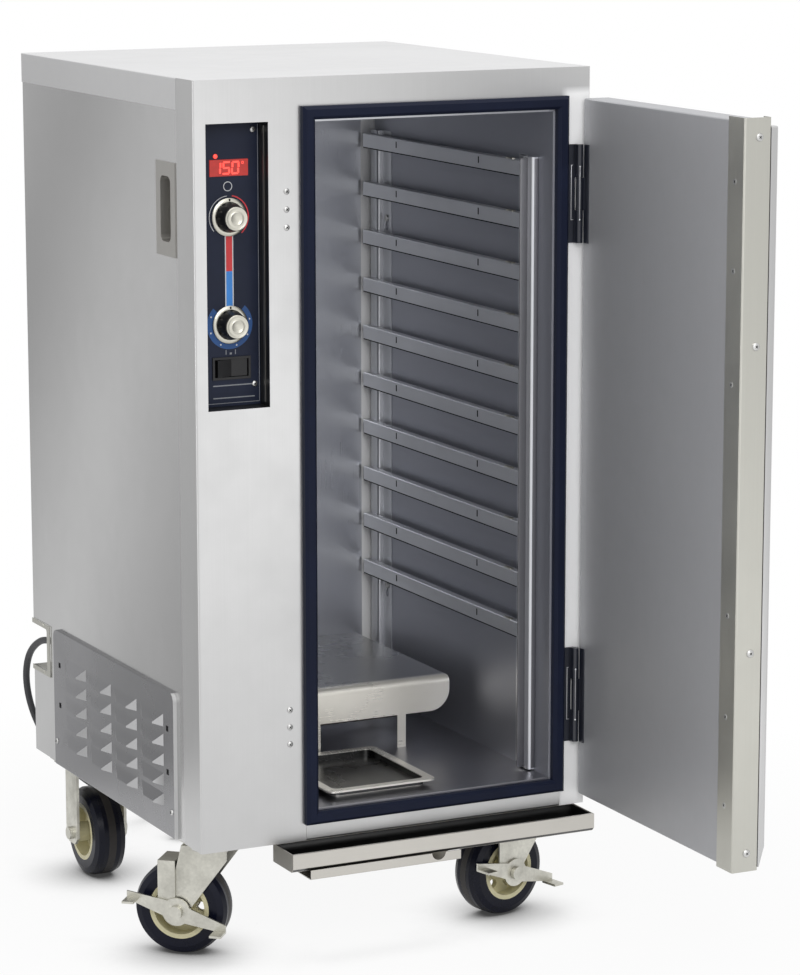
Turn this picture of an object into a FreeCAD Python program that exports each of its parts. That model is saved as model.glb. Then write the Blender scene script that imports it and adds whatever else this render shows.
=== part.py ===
import FreeCAD
import Part
import Sketcher
import math
import os
from types import SimpleNamespace

# Heated holding cabinet on casters, in millimetres.
# The origin is on the floor under the middle of the cabinet, the front faces -Y and +Z is up.
# The door stands open and the casters are turned, as the cabinet is usually seen.

Vector = FreeCAD.Vector
doc = FreeCAD.newDocument("holding_cabinet")
sheet = doc.addObject("Spreadsheet::Sheet", "Sizes")

# Driving dimensions: name, value, what it is
TABLE = (
    ("body_width", 568, "cabinet, outside width"),
    ("body_depth", 606, "cabinet, outside depth"),
    ("body_height", 1000, "cabinet, bottom edge to top"),
    ("caster_height", 165, "floor to the cabinet's bottom edge"),
    ("skin", 1.2, "thickness of the sheet steel"),
    ("fit_gap", 0.3, "clearance between pieces that do not touch"),
    ("panel_lap", 15, "side panel behind the front panel's return"),
    ("corner_return", 55, "front panel's return along the sides"),
    ("cap_skirt", 40, "height of the top cover's skirt"),
    ("rail_flange", 20, "bottom rail's flange under the cabinet"),
    ("pan_plate", 2, "thickness of the base pan"),
    ("pan_flange", 20, "height of the base pan's flanges"),
    ("column_width", 167.5, "compartment's left wall from the cabinet's left side"),
    ("stile_width", 55.5, "compartment's right wall from the cabinet's right side"),
    ("ceiling_drop", 57, "compartment's ceiling below the cabinet's top"),
    ("rear_wall", 70, "compartment's back wall in front of the cabinet's back"),
    ("cavity_floor", 42, "compartment's floor above the cabinet's bottom edge"),
    ("liner_flange", 17.5, "liner's front flange round the opening"),
    ("left_board", 20, "insulation board beside the control column"),
    ("seal_width", 17, "door seal, width of a strip"),
    ("seal_reveal", 3, "seal's inner edge outside the compartment's wall"),
    ("seal_proud", 11.6, "seal's thickness in front of the cabinet"),
    ("seal_bevel", 4, "bevel along the seal's front edges"),
    ("seal_clearance", 0.4, "door's edge channel to the seal when closed"),
    ("door_cover", 5.5, "door's free edge past the seal"),
    ("door_drop", 41, "door's inner pan, top below the cabinet's top"),
    ("door_bottom", 16, "door's inner pan above the cabinet's bottom edge"),
    ("door_pan_depth", 35.3, "depth of the door's inner pan"),
    ("door_skin_depth", 11.5, "depth of the door's outer skin behind the pan"),
    ("door_skin_drop", 7, "outer skin's top below the pan's top"),
    ("door_skin_bevel", 26, "height of the bevel under the outer skin"),
    ("door_skin_foot", 3, "depth of the outer skin's lower edge"),
    ("edge_leg", 38, "width of the edge channel's inner leg"),
    ("edge_overhang", 4, "edge channel past the pan's top and bottom"),
    ("edge_back_leg", 17, "width of the edge channel's outer leg"),
    ("door_open", 89.3, "angle at which the door stands open"),
    ("hinge_setback", 7, "hinge pin in front of the cabinet's front"),
    ("hinge_inset", 19, "hinge pin in from the cabinet's right side"),
    ("door_lip", 1, "door's edge past the hinge pin"),
    ("hinge_length", 130, "hinge, height"),
    ("hinge_low", 90, "lower hinge above the cabinet's bottom edge"),
    ("hinge_drop", 101, "upper hinge's top below the cabinet's top"),
    ("knuckle_radius", 4.7, "hinge knuckle, radius"),
    ("knuckle_web", 2.8, "web between knuckle and leaf, from the pin"),
    ("knuckle_gap", 0.5, "gap between hinge knuckles"),
    ("hinge_pin_radius", 2.5, "hinge pin, radius"),
    ("running_gap", 0.05, "radial clearance of a running fit"),
    ("leaf_width", 11, "hinge leaf, width beside the knuckle"),
    ("leaf_reach", 4, "hinge leaf's near edge from the pin"),
    ("leaf_thickness", 1.8, "hinge leaf, thickness"),
    ("recess_left", 16.5, "control recess from the cabinet's left side"),
    ("recess_drop", 55, "control recess's top below the cabinet's top"),
    ("recess_width", 86, "control recess, width"),
    ("recess_height", 364, "control recess, height"),
    ("recess_depth", 29, "front plane to the control panel's face"),
    ("recess_flange", 7, "flange that carries the control panel"),
    ("panel_thickness", 2, "control panel, thickness"),
    ("display_left", 17.5, "display window from the recess's left side"),
    ("display_drop", 48, "display window's top below the recess's top"),
    ("display_width", 53, "display window, width"),
    ("display_height", 21, "display window, height"),
    ("display_proud", 0.8, "display window in front of the panel"),
    ("display_depth", 12, "display block, front to back"),
    ("lamp_left", 25.5, "lamp's centre from the recess's left side"),
    ("lamp_drop", 43.5, "lamp's centre below the recess's top"),
    ("lamp_radius", 3, "lamp lens, radius"),
    ("knob_left", 43.5, "knobs' axis from the recess's left side"),
    ("upper_knob_drop", 121, "upper knob's axis below the recess's top"),
    ("lower_knob_rise", 105.5, "lower knob's axis above the recess's bottom"),
    ("knob_skirt_radius", 24, "knob's dial skirt, radius"),
    ("knob_skirt", 2.5, "knob's dial skirt, thickness at its rim"),
    ("knob_waist_radius", 19.5, "knob's grip, radius at the skirt"),
    ("knob_cap_radius", 14.5, "knob's cap, radius"),
    ("knob_height", 24, "knob, height"),
    ("knob_bevel", 2, "bevel round a knob's cap, height"),
    ("knob_shoulder", 1.5, "bevel round a knob's cap, width"),
    ("knob_gap", 0.5, "knob's skirt to the control panel"),
    ("knob_flute", 2, "radius of the flutes in a knob's grip"),
    ("shaft_radius", 3, "thermostat shaft, radius"),
    ("shaft_reach", 16, "thermostat shaft in front of the panel"),
    ("thermostat_radius", 21, "thermostat case, radius"),
    ("thermostat_depth", 32, "thermostat case, depth"),
    ("switch_left", 45, "switch's centre from the recess's left side"),
    ("switch_rise", 49.5, "switch's centre above the recess's bottom"),
    ("switch_width", 53, "switch frame, width"),
    ("switch_height", 29, "switch frame, height"),
    ("switch_proud", 2, "switch frame in front of the panel"),
    ("switch_wall", 3, "wall of the switch housing"),
    ("switch_depth", 24, "switch housing behind the panel"),
    ("rocker_length", 44, "rocker, length"),
    ("rocker_width", 22, "rocker, height"),
    ("rocker_pivot", 3.5, "rocker's pivot behind the panel's face"),
    ("rocker_rise", 6, "rocker's ends in front of its pivot"),
    ("rocker_dip", 3, "rocker's middle in front of its pivot"),
    ("rocker_keel_half", 9, "half length of the rocker's back"),
    ("rocker_keel", 6, "rocker's back behind its pivot"),
    ("rocker_tilt", 8, "rocker's tilt to either side"),
    ("rocker_pin_radius", 1.5, "rocker's pivot pin, radius"),
    ("vent_front", 80, "vent panel's front edge behind the front plane"),
    ("vent_rear", 92, "vent panel's rear edge in front of the cabinet's back"),
    ("vent_height", 197, "vent panel, height"),
    ("vent_proud", 4, "vent panel's face outside the side panel's lap"),
    ("vent_corner", 12, "vent panel's upper corners, radius"),
    ("louvre_length", 78, "louvre, length"),
    ("louvre_height", 17, "louvre, height"),
    ("louvre_proud", 7, "louvre outside the vent panel"),
    ("louvre_taper", 22, "louvre's sloped end"),
    ("louvre_lip", 2, "louvre's lip above its opening"),
    ("louvre_first", 34, "first louvre from the vent panel's front edge"),
    ("louvre_low", 38, "lowest louvre above the cabinet's bottom edge"),
    ("louvre_pitch", 92, "louvres along the vent panel"),
    ("louvre_step", 27, "louvres up the vent panel"),
    ("grip_front", 61, "hand grip's front edge behind the front plane"),
    ("grip_drop", 108, "hand grip's top below the cabinet's top"),
    ("grip_length", 62, "hand grip plate, front to back"),
    ("grip_height", 121, "hand grip plate, height"),
    ("grip_plate", 1.5, "hand grip plate, thickness"),
    ("cup_width", 33, "grip's cup, front to back"),
    ("cup_height", 84, "grip's cup, height"),
    ("cup_depth", 22, "grip's cup, depth"),
    ("cup_corner", 9, "grip's cup, corner radius"),
    ("pull_inset", 70, "door pull's middle from the door's free edge"),
    ("pull_rise", 470, "door pull's middle above the door's bottom"),
    ("notch_length", 68, "cord pocket, front to back"),
    ("notch_height", 68, "cord pocket, height"),
    ("notch_low", 126, "cord pocket above the cabinet's bottom edge"),
    ("notch_width", 62, "cord pocket, width"),
    ("stud_radius", 3, "rack stud, radius"),
    ("stud_head", 5, "rack stud's head, radius"),
    ("stud_head_depth", 1.6, "rack stud's head, thickness"),
    ("stud_low", 215, "lower studs above the cabinet's bottom edge"),
    ("stud_drop", 125, "upper studs below the rack's top"),
    ("rack_lift", 12, "lift that frees a rack from its studs"),
    ("rack_depth", 9.6, "rack upright, wall to its crown"),
    ("rack_front", 39, "rack's front face behind the front plane"),
    ("rack_rear", 8, "rack's rear face in front of the compartment's back wall"),
    ("rack_crown", 26, "rack upright's crown, width"),
    ("rack_brim", 26, "rack upright's brim, width"),
    ("rack_foot", 44, "rack's foot above the cabinet's bottom edge"),
    ("rack_headroom", 63, "rack's top below the compartment's ceiling"),
    ("slide_height", 21, "tray slide, height"),
    ("slide_depth", 11, "tray slide in front of the uprights"),
    ("slide_pitch", 69.6, "tray slides, spacing"),
    ("slide_drop", 5, "top slide's ledge below the rack's top"),
    ("slide_setback", 13, "tray slide's front end behind the rack's face"),
    ("slide_lip", 6, "tray slide's lower lip"),
    ("baffle_gap", 31.5, "heat baffle's ends from the compartment's walls"),
    ("baffle_front", 232, "heat baffle's front behind the front plane"),
    ("baffle_top", 137, "heat baffle's top above the cabinet's bottom edge"),
    ("baffle_apron", 48, "height of the baffle's front apron"),
    ("baffle_corner", 30, "rounding of the apron's lower ends"),
    ("baffle_bend", 9, "radius of the bend over the baffle's front"),
    ("baffle_leg", 13, "width of a baffle leg"),
    ("baffle_leg_inset", 75, "baffle leg in from the baffle's end"),
    ("element_radius", 4, "heating element, radius"),
    ("element_rise", 30, "heating element's axis above the compartment's floor"),
    ("element_rear", 116, "element's rear run in front of the compartment's back wall"),
    ("element_spread", 120, "distance between the element's runs"),
    ("element_clear", 95, "element's straight runs end short of the right wall"),
    ("element_tail", 25, "element's terminals behind the wall"),
    ("element_collar", 9, "element's collar, radius"),
    ("element_collar_depth", 4, "element's collar, thickness"),
    ("pan_width", 160, "water pan, width"),
    ("pan_length", 194, "water pan, front to back"),
    ("pan_front", 28, "water pan's front behind the front plane"),
    ("pan_height", 10, "water pan, height"),
    ("pan_rim", 11, "water pan's rim, width"),
    ("pan_left", 29.5, "water pan from the compartment's left wall"),
    ("pan_corner", 10, "water pan's corner radius"),
    ("trough_left", 113, "drip trough from the cabinet's left side"),
    ("trough_right", 5, "drip trough from the cabinet's right side"),
    ("trough_front", 38.5, "drip trough in front of the cabinet"),
    ("trough_depth", 63, "drip trough, front to back"),
    ("trough_height", 24.5, "drip trough, height"),
    ("trough_drop", 6, "drip trough's lip below the cabinet's bottom edge"),
    ("trough_lip", 4, "drip trough's rolled lip"),
    ("trough_bend", 5, "rounding under the trough's front"),
    ("bracket_left", 140, "trough bracket from the cabinet's left side"),
    ("bracket_width", 221, "trough bracket, width"),
    ("bracket_height", 13, "trough bracket's front lip, height"),
    ("bracket_setback", 3, "bracket's lip behind the trough's front"),
    ("bracket_flange", 5, "trough bracket's flange under the base pan"),
    ("bracket_notch", 10, "radius of the notch in the bracket's lip"),
    ("bracket_notch_inset", 33, "notch from the bracket's right end"),
    ("caster_inset", 52, "caster's axis in from the cabinet's side"),
    ("caster_front", 90, "swivel axis behind the front plane"),
    ("caster_rear", 104, "rigid caster's axle in front of the cabinet's back"),
    ("caster_trail", 38, "swivel caster's trail"),
    ("left_turn", 140, "front left caster's direction"),
    ("right_turn", 193, "front right caster's direction"),
    ("plate_length", 108, "caster plate, front to back"),
    ("plate_width", 96, "caster plate, across"),
    ("plate_thickness", 4, "caster plate, thickness"),
    ("race_radius", 36, "swivel race, radius"),
    ("race_depth", 8, "swivel race, depth"),
    ("race_gap", 0.5, "swivel race to the fork's crown"),
    ("kingpin_radius", 6, "kingpin, radius"),
    ("kingpin_nut", 9, "kingpin nut, radius"),
    ("kingpin_nut_depth", 7, "kingpin nut, thickness"),
    ("wheel_radius", 63.5, "wheel, radius"),
    ("tread_width", 46, "tyre, width"),
    ("tread_round", 11, "rounding of the tyre's shoulders"),
    ("hub_radius", 41, "wheel core, radius"),
    ("hub_rim", 6, "wheel core's rim, thickness"),
    ("hub_web", 8, "wheel core's web, thickness"),
    ("hub_boss", 14, "wheel core's boss, radius"),
    ("hub_window", 6.5, "radius of a window in the web"),
    ("hub_window_circle", 24.5, "radius of the circle of windows"),
    ("wheel_gap", 1, "wheel's boss to the fork's legs"),
    ("axle_radius", 5, "axle, radius"),
    ("axle_head", 9, "axle's head and nut, radius"),
    ("axle_head_depth", 6, "axle's head and nut, thickness"),
    ("fork_gap", 4, "tyre's side to the fork's leg"),
    ("fork_plate", 4, "fork's sheet, thickness"),
    ("fork_crown", 34, "fork's crown, radius"),
    ("crown_plate", 6, "fork's crown, thickness"),
    ("fork_cheek", 12, "fork leg's front edge below the crown"),
    ("fork_nose", 30, "fork leg's top, forward of the kingpin"),
    ("fork_tail", 32, "fork leg's top, behind the kingpin"),
    ("fork_toe", 15, "radius of the fork leg's end"),
    ("rigid_corner", 10, "bevel at the foot of a rigid fork's leg"),
    ("rigid_leg", 42, "rigid fork's leg, width"),
    ("rigid_gap", 11, "tyre's side to the rigid fork's leg"),
    ("lever_plate", 3, "brake lever, thickness"),
    ("lever_gap", 0.4, "gaps beside the brake lever"),
    ("lever_boss", 19, "brake lever's boss, radius"),
    ("lever_arm", 68, "brake lever's pedals from the axle"),
    ("lever_slope", 16, "brake lever's slope at rest"),
    ("lever_neck", 13, "brake lever's arm at its boss, half width"),
    ("lever_tip", 5.5, "brake lever's arm at a pedal, half width"),
    ("pedal_width", 26, "brake pedal, width"),
    ("pedal_length", 16, "brake pedal, length"),
    ("strap_width", 24, "brake shoe's strap, width"),
    ("strap_offset", 14, "strap's middle behind the axle"),
    ("strap_plate", 2.5, "brake shoe's strap, thickness"),
    ("shoe_clearance", 3, "brake shoe above the tyre"),
    ("shoe_length", 44, "brake shoe over the tyre"),
    ("screw_radius", 4, "panel screw's head, radius"),
    ("screw_head", 1.6, "panel screw's head, height"),
    ("screw_flush", 0.3, "countersunk screw's head, height"),
    ("plug_left", 127.5, "column screws from the cabinet's left side"),
    ("plug_low", 133, "lowest column screw above the bottom edge"),
    ("plug_drop", 190, "first upper column screw below the cabinet's top"),
    ("plug_step", 23, "column screws, spacing"),
    ("vent_screw_inset", 8, "vent screws in from the vent panel's edges"),
    ("vent_screw_low", 35, "vent screws above the cabinet's bottom edge"),
    ("panel_screw_inset", 8.5, "control panel screws in from its sides"),
    ("panel_screw_low", 27, "lower control panel screws above the recess"),
    ("panel_screw_drop", 11, "upper control panel screws below the recess's top"),
    ("leg_screw_inset", 22, "door channel screws from the door's free edge"),
    ("edge_screw_inset", 21, "door edge screws behind the inner face"),
    ("cord_diameter", 10, "power cord, diameter"),
    ("cord_left", 20, "power cord's exit from the cabinet's left side"),
    ("cord_rise", 163, "power cord's exit above the cabinet's bottom edge"),
    ("relief_length", 32, "strain relief, length"),
    ("relief_radius", 9, "strain relief's root, radius"),
    ("relief_nut", 13, "strain relief's flange, radius"),
    ("relief_nut_depth", 5, "strain relief's flange, thickness"),
    ("coil_centre_x", 350, "coil's middle from the cabinet's left side"),
    ("coil_centre_y", 74, "coil's middle behind the cabinet's back"),
    ("coil_radius", 65.6, "coil's outer turn, radius"),
    ("coil_pitch", 10.6, "coil, turn to turn and layer to layer"),
    ("coil_tail", 58, "straight cord between the coil and the plug"),
    ("plug_radius", 15, "plug body, radius"),
    ("plug_length", 42, "plug body, length"),
    ("plug_neck", 22, "plug's tapered neck, length"),
    ("plug_shoulder_radius", 11, "plug body where its neck ends, radius"),
    ("plug_shoulder", 5, "length of the plug's shoulder"),
    ("plug_neck_radius", 8, "plug's neck at the cord, radius"),
    ("blade_length", 18, "plug blade, length"),
    ("blade_width", 6.4, "plug blade, width"),
    ("blade_plate", 1.6, "plug blade, thickness"),
    ("blade_spread", 12.7, "distance between the plug's blades"),
    ("earth_radius", 2.4, "plug's earth pin, radius"),
    ("earth_drop", 8, "plug's earth pin below its middle"),
)

LOUVRE_ROWS = 5
TRAY_SLIDES = 10
HUB_WINDOWS = 6
KNOB_FLUTES = 12
COIL_TURNS = 2
LEG_SCREW_RISES = (80, 195, 325)
LEG_SCREW_DROPS = (326, 185, 75)
EDGE_SCREW_RISES = (20, 279)
EDGE_SCREW_DROPS = (277, 20)


class Size:
    """A length together with the sheet expression that gives it."""

    def __init__(self, value, text):
        self.value = value
        self.text = text

    def __add__(self, other):
        other = as_size(other)
        return Size(self.value + other.value, f"({self.text} + {other.text})")

    def __sub__(self, other):
        other = as_size(other)
        return Size(self.value - other.value, f"({self.text} - {other.text})")

    def __mul__(self, number):
        number = as_size(number)
        return Size(self.value * number.value, f"({self.text} * {number.text})")

    def __truediv__(self, number):
        number = as_size(number)
        return Size(self.value / number.value, f"({self.text} / {number.text})")

    def __neg__(self):
        return Size(-self.value, f"(-1 * {self.text})")

    def __radd__(self, other):
        return as_size(other) + self

    def __rsub__(self, other):
        return as_size(other) - self

    __rmul__ = __mul__


def as_size(thing):
    if isinstance(thing, Size):
        return thing
    return Size(float(thing), f"({float(thing):.6f})")


ZERO = as_size(0)
QUARTER_TURN = as_size(90)
# How far a point halfway round a quarter circle lies inside its corner, as a share of the radius
ROUND_SHARE = 1 - math.sqrt(0.5)


def fill_sheet():
    names = SimpleNamespace()
    for row, (alias, value, note) in enumerate(TABLE, 1):
        sheet.set(f"A{row}", note)
        sheet.set(f"B{row}", str(value))
        sheet.setAlias(f"B{row}", alias)
        setattr(names, alias, Size(float(value), f"Sizes.{alias}"))
    doc.recompute()
    return names


dim = fill_sheet()


def bind(thing, prop, length):
    thing.setExpression(prop, as_size(length).text)


def place(thing, at=(0, 0, 0), turn=None):
    for axis, length in zip("xyz", at):
        bind(thing, f"Placement.Base.{axis}", length)
    if turn is not None:
        bind(thing, "Placement.Rotation.Angle", turn)
    return thing


def ordered(pair):
    low, high = (as_size(end) for end in pair)
    return (low, high) if low.value <= high.value else (high, low)


def box(name, x, y, z):
    """A block between two ends on each axis."""
    block = doc.addObject("Part::Box", name)
    for prop, axis, pair in zip(("Length", "Width", "Height"), "xyz", (x, y, z)):
        low, high = ordered(pair)
        bind(block, prop, high - low)
        bind(block, f"Placement.Base.{axis}", low)
    return block


TILT = {
    "x": FreeCAD.Rotation(Vector(0, 1, 0), 90),
    "y": FreeCAD.Rotation(Vector(1, 0, 0), -90),
    "z": FreeCAD.Rotation(),
}


def rod(name, axis, ends, centre, radius):
    """A cylinder along a row axis; centre gives the other two coordinates, in order."""
    low, high = ordered(ends)
    at = list(centre)
    at.insert("xyz".index(axis), low)
    cylinder = doc.addObject("Part::Cylinder", name)
    cylinder.Placement = FreeCAD.Placement(Vector(), TILT[axis])
    bind(cylinder, "Radius", radius)
    bind(cylinder, "Height", high - low)
    return place(cylinder, at)


def cut(name, base, *tools):
    result = doc.addObject("Part::Cut", name)
    result.Base = base
    result.Tool = tools[0] if len(tools) == 1 else join(f"{name}_cuts", *tools)
    return result


def join(name, *pieces):
    result = doc.addObject("Part::MultiFuse", name)
    result.Shapes = list(pieces)
    result.Refine = True
    return result


def group(name, *pieces):
    result = doc.addObject("Part::Compound", name)
    result.Links = list(pieces)
    return result


def rounded(name, base, radius, wanted):
    """Rounds the edges of a shape that pass a test."""
    doc.recompute()
    result = doc.addObject("Part::Fillet", name)
    result.Base = base
    result.Edges = [
        (number, radius.value, radius.value)
        for number, edge in enumerate(base.Shape.Edges, 1)
        if wanted(edge)
    ]
    return result


def runs_along(edge, direction):
    """True for a straight edge that is parallel to a direction."""
    if not isinstance(edge.Curve, (Part.Line, Part.LineSegment)):
        return False
    return edge.tangentAt(edge.FirstParameter).cross(direction).Length < 1e-6


def sketch_on(body, plane, name, offset=0):
    sketch = body.newObject("Sketcher::SketchObject", name)
    role = f"{plane}_Plane"
    origin = next(item for item in body.Origin.OriginFeatures if item.Role == role)
    sketch.AttachmentSupport = [(origin, "")]
    sketch.MapMode = "FlatFace"
    bind(sketch, "AttachmentOffset.Base.z", offset)
    return sketch


def fix_point(sketch, line, end, x, y):
    for kind, length in (("DistanceX", x), ("DistanceY", y)):
        rule = Sketcher.Constraint(kind, -1, 1, line, end, length.value)
        number = sketch.addConstraint(rule)
        sketch.setExpression(f"Constraints[{number}]", length.text)


def draw_loop(sketch, corners):
    """A closed outline of straight sides, each corner fixed by the sheet."""
    corners = [(as_size(x), as_size(y)) for x, y in corners]
    first = sketch.GeometryCount
    count = len(corners)
    for index, (x, y) in enumerate(corners):
        next_x, next_y = corners[(index + 1) % count]
        start = Vector(x.value, y.value, 0)
        end = Vector(next_x.value, next_y.value, 0)
        sketch.addGeometry(Part.LineSegment(start, end), False)
    for index in range(count):
        after = first + (index + 1) % count
        sketch.addConstraint(Sketcher.Constraint("Coincident", first + index, 2, after, 1))
    for index, (x, y) in enumerate(corners):
        fix_point(sketch, first + index, 1, x, y)


def draw_circle(sketch, offset, radius):
    """A circle at a distance along the sketch's first axis."""
    middle = Vector(offset.value, 0, 0)
    sketch.addGeometry(Part.Circle(middle, Vector(0, 0, 1), radius.value), False)
    fix_point(sketch, 0, 3, offset, ZERO)
    number = sketch.addConstraint(Sketcher.Constraint("Radius", 0, radius.value))
    sketch.setExpression(f"Constraints[{number}]", radius.text)


def prism(name, plane, corners, ends, at=(0, 0, 0), turn=None):
    """An outline on a plane, padded between two ends along the plane's axis."""
    low, high = ordered(ends)
    body = doc.addObject("PartDesign::Body", name)
    sketch = sketch_on(body, plane, f"{name}_outline", -high if plane == "XZ" else low)
    draw_loop(sketch, corners)
    pad = body.newObject("PartDesign::Pad", f"{name}_pad")
    pad.Profile = sketch
    bind(pad, "Length", high - low)
    return place(body, at, turn)


def lathe(name, axis, profile, at=(0, 0, 0), turn=None):
    """A profile of (radius, distance along) turned about an axis through the body's origin."""
    body = doc.addObject("PartDesign::Body", name)
    sketch = sketch_on(body, "XZ" if axis == "z" else "XY", f"{name}_profile")
    if axis == "x":
        draw_loop(sketch, [(along, radius) for radius, along in profile])
    else:
        draw_loop(sketch, profile)
    spun = body.newObject("PartDesign::Revolution", f"{name}_turned")
    spun.Profile = sketch
    spun.ReferenceAxis = (sketch, ["H_Axis" if axis == "x" else "V_Axis"])
    spun.Angle = 360
    return place(body, at, turn)


# Planes that several pieces share
left = -(dim.body_width / 2)
right = dim.body_width / 2
front = -(dim.body_depth / 2)
back = dim.body_depth / 2
base = dim.caster_height
top = base + dim.body_height
cavity_left = left + dim.column_width
cavity_right = right - dim.stile_width
cavity_low = base + dim.cavity_floor
cavity_high = top - dim.ceiling_drop
cavity_back = back - dim.rear_wall
cavity_walls = {-1: cavity_left, 1: cavity_right}
rack_high = cavity_high - dim.rack_headroom
rack_far = cavity_back - dim.rack_rear
stud_levels = (base + dim.stud_low, rack_high - dim.stud_drop)
opening_left = cavity_left - dim.liner_flange
opening_right = cavity_right + dim.liner_flange
opening_low = cavity_low - dim.liner_flange
opening_high = cavity_high + dim.liner_flange
side_left = left + dim.skin
side_right = right - dim.skin
mount_plane = base + dim.skin
recess_x = left + dim.recess_left
recess_z = top - dim.recess_drop - dim.recess_height
upper_knob_rise = dim.recess_height - dim.upper_knob_drop
panel_face = front + dim.recess_depth
panel_back = panel_face + dim.panel_thickness
knob_x = recess_x + dim.knob_left
vent_face = left - dim.vent_proud
vent_y = front + dim.vent_front
vent_end = back - dim.vent_rear
hinge_x = right - dim.hinge_inset
hinge_y = front - dim.hinge_setback
notch_y = back - dim.notch_length
notch_z = base + dim.notch_low
nodes = []


def keep(piece, name):
    """Marks a finished sub-part, which is written under its label."""
    piece.Label = name
    nodes.append(piece)
    return piece


# Sheet metal shell


def cup_window(name, side, depth):
    """Room for a hand grip's cup, cut in from a side of the cabinet."""
    y = front + dim.grip_front + dim.grip_length / 2
    z = top - dim.grip_drop - dim.grip_height / 2
    half_y = dim.cup_width / 2 + dim.skin + dim.fit_gap
    half_z = dim.cup_height / 2 + dim.skin + dim.fit_gap
    x = side * (dim.body_width / 2)
    return box(name, (x - side * depth, x), (y - half_y, y + half_y), (z - half_z, z + half_z))


def make_shell():
    returns = [
        (left, front + dim.corner_return),
        (left, front),
        (right, front),
        (right, front + dim.corner_return),
        (side_right, front + dim.corner_return),
        (side_right, front + dim.skin),
        (side_left, front + dim.skin),
        (side_left, front + dim.corner_return),
    ]
    sheet_metal = prism("front_sheet", "XY", returns, (base, top))
    through = (front - dim.skin, front + dim.skin * 2)
    doorway = box("doorway", (opening_left, opening_right), through, (base - dim.skin, opening_high))
    window = box(
        "recess_window",
        (recess_x, recess_x + dim.recess_width),
        through,
        (recess_z, recess_z + dim.recess_height),
    )
    keep(cut("front_cut", sheet_metal, doorway, window), "front_panel")

    rail = [
        (front, base),
        (front, opening_low),
        (front + dim.skin, opening_low),
        (front + dim.skin, base + dim.skin),
        (front + dim.rail_flange, base + dim.skin),
        (front + dim.rail_flange, base),
    ]
    rail_ends = (opening_left + dim.fit_gap, opening_right - dim.fit_gap)
    keep(prism("rail", "YZ", rail, rail_ends), "bottom_rail")

    skirt = top - dim.cap_skirt
    hood = [
        (left, skirt),
        (left, top),
        (right, top),
        (right, skirt),
        (side_right, skirt),
        (side_right, top - dim.skin),
        (side_left, top - dim.skin),
        (side_left, skirt),
    ]
    cap_front = front + dim.corner_return + dim.fit_gap
    tunnel = prism("cap_tunnel", "XZ", hood, (cap_front, back))
    nose = box("cap_nose", (side_left, side_right), (front + dim.skin, cap_front), (top - dim.skin, top))
    tail = box("cap_tail", (left, right), (back - dim.skin, back), (skirt, top))
    keep(join("cap", tunnel, nose, tail), "top_cover")

    pan_low = mount_plane
    pan_high = mount_plane + dim.pan_flange
    pan_left = side_left + dim.skin
    pan_right = side_right - dim.skin
    tray = [
        (pan_left, pan_low),
        (pan_right, pan_low),
        (pan_right, pan_high),
        (pan_right - dim.pan_plate, pan_high),
        (pan_right - dim.pan_plate, pan_low + dim.pan_plate),
        (pan_left + dim.pan_plate, pan_low + dim.pan_plate),
        (pan_left + dim.pan_plate, pan_high),
        (pan_left, pan_high),
    ]
    keep(prism("pan_tray", "XZ", tray, (front + dim.skin, back - dim.skin * 2)), "base_pan")

    panel_y = (front + dim.corner_return - dim.panel_lap, back - dim.skin)
    panel_z = (base, top - dim.skin)
    left_sheet = box("left_sheet", (side_left, side_left + dim.skin), panel_y, panel_z)
    notch_span = (notch_z, notch_z + dim.notch_height)
    notch = box("left_notch", (left, side_left + dim.skin * 2), (notch_y, back), notch_span)
    inset = dim.vent_corner * 2
    vents = box(
        "vent_opening",
        (left, side_left + dim.skin * 2),
        (vent_y + inset, vent_end - inset),
        (base + inset, base + dim.vent_height - inset),
    )
    left_cup = cup_window("left_cup_hole", -1, dim.skin * 3)
    keep(cut("left_cut", left_sheet, notch, vents, left_cup), "left_side_panel")
    right_sheet = box("right_sheet", (side_right - dim.skin, side_right), panel_y, panel_z)
    right_cup = cup_window("right_cup_hole", 1, dim.skin * 3)
    keep(cut("right_cut", right_sheet, right_cup), "right_side_panel")

    back_sheet = box(
        "back_sheet",
        (side_left + dim.skin, side_right - dim.skin),
        (back - dim.skin * 2, back - dim.skin),
        panel_z,
    )
    back_notch = box(
        "back_notch",
        (left, side_left + dim.skin + dim.notch_width),
        (back - dim.skin * 3, back),
        notch_span,
    )
    keep(cut("back_cut", back_sheet, back_notch), "back_panel")


def make_cord_pocket():
    """A folded box in the rear left corner, open to the side and to the back."""
    near = side_left + dim.skin
    far = near + dim.notch_width
    rear = back - dim.skin * 2
    outer = box(
        "pocket_outer",
        (near, far + dim.skin),
        (notch_y - dim.skin, rear),
        (notch_z - dim.skin, notch_z + dim.notch_height + dim.skin),
    )
    inner = box("pocket_inner", (left, far), (notch_y, back), (notch_z, notch_z + dim.notch_height))
    hole = rod(
        "relief_hole",
        "y",
        (notch_y - dim.skin * 2, notch_y + dim.skin),
        (left + dim.cord_left, base + dim.cord_rise),
        dim.relief_radius + dim.fit_gap,
    )
    keep(cut("pocket_cut", outer, inner, hole), "cord_pocket")


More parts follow.
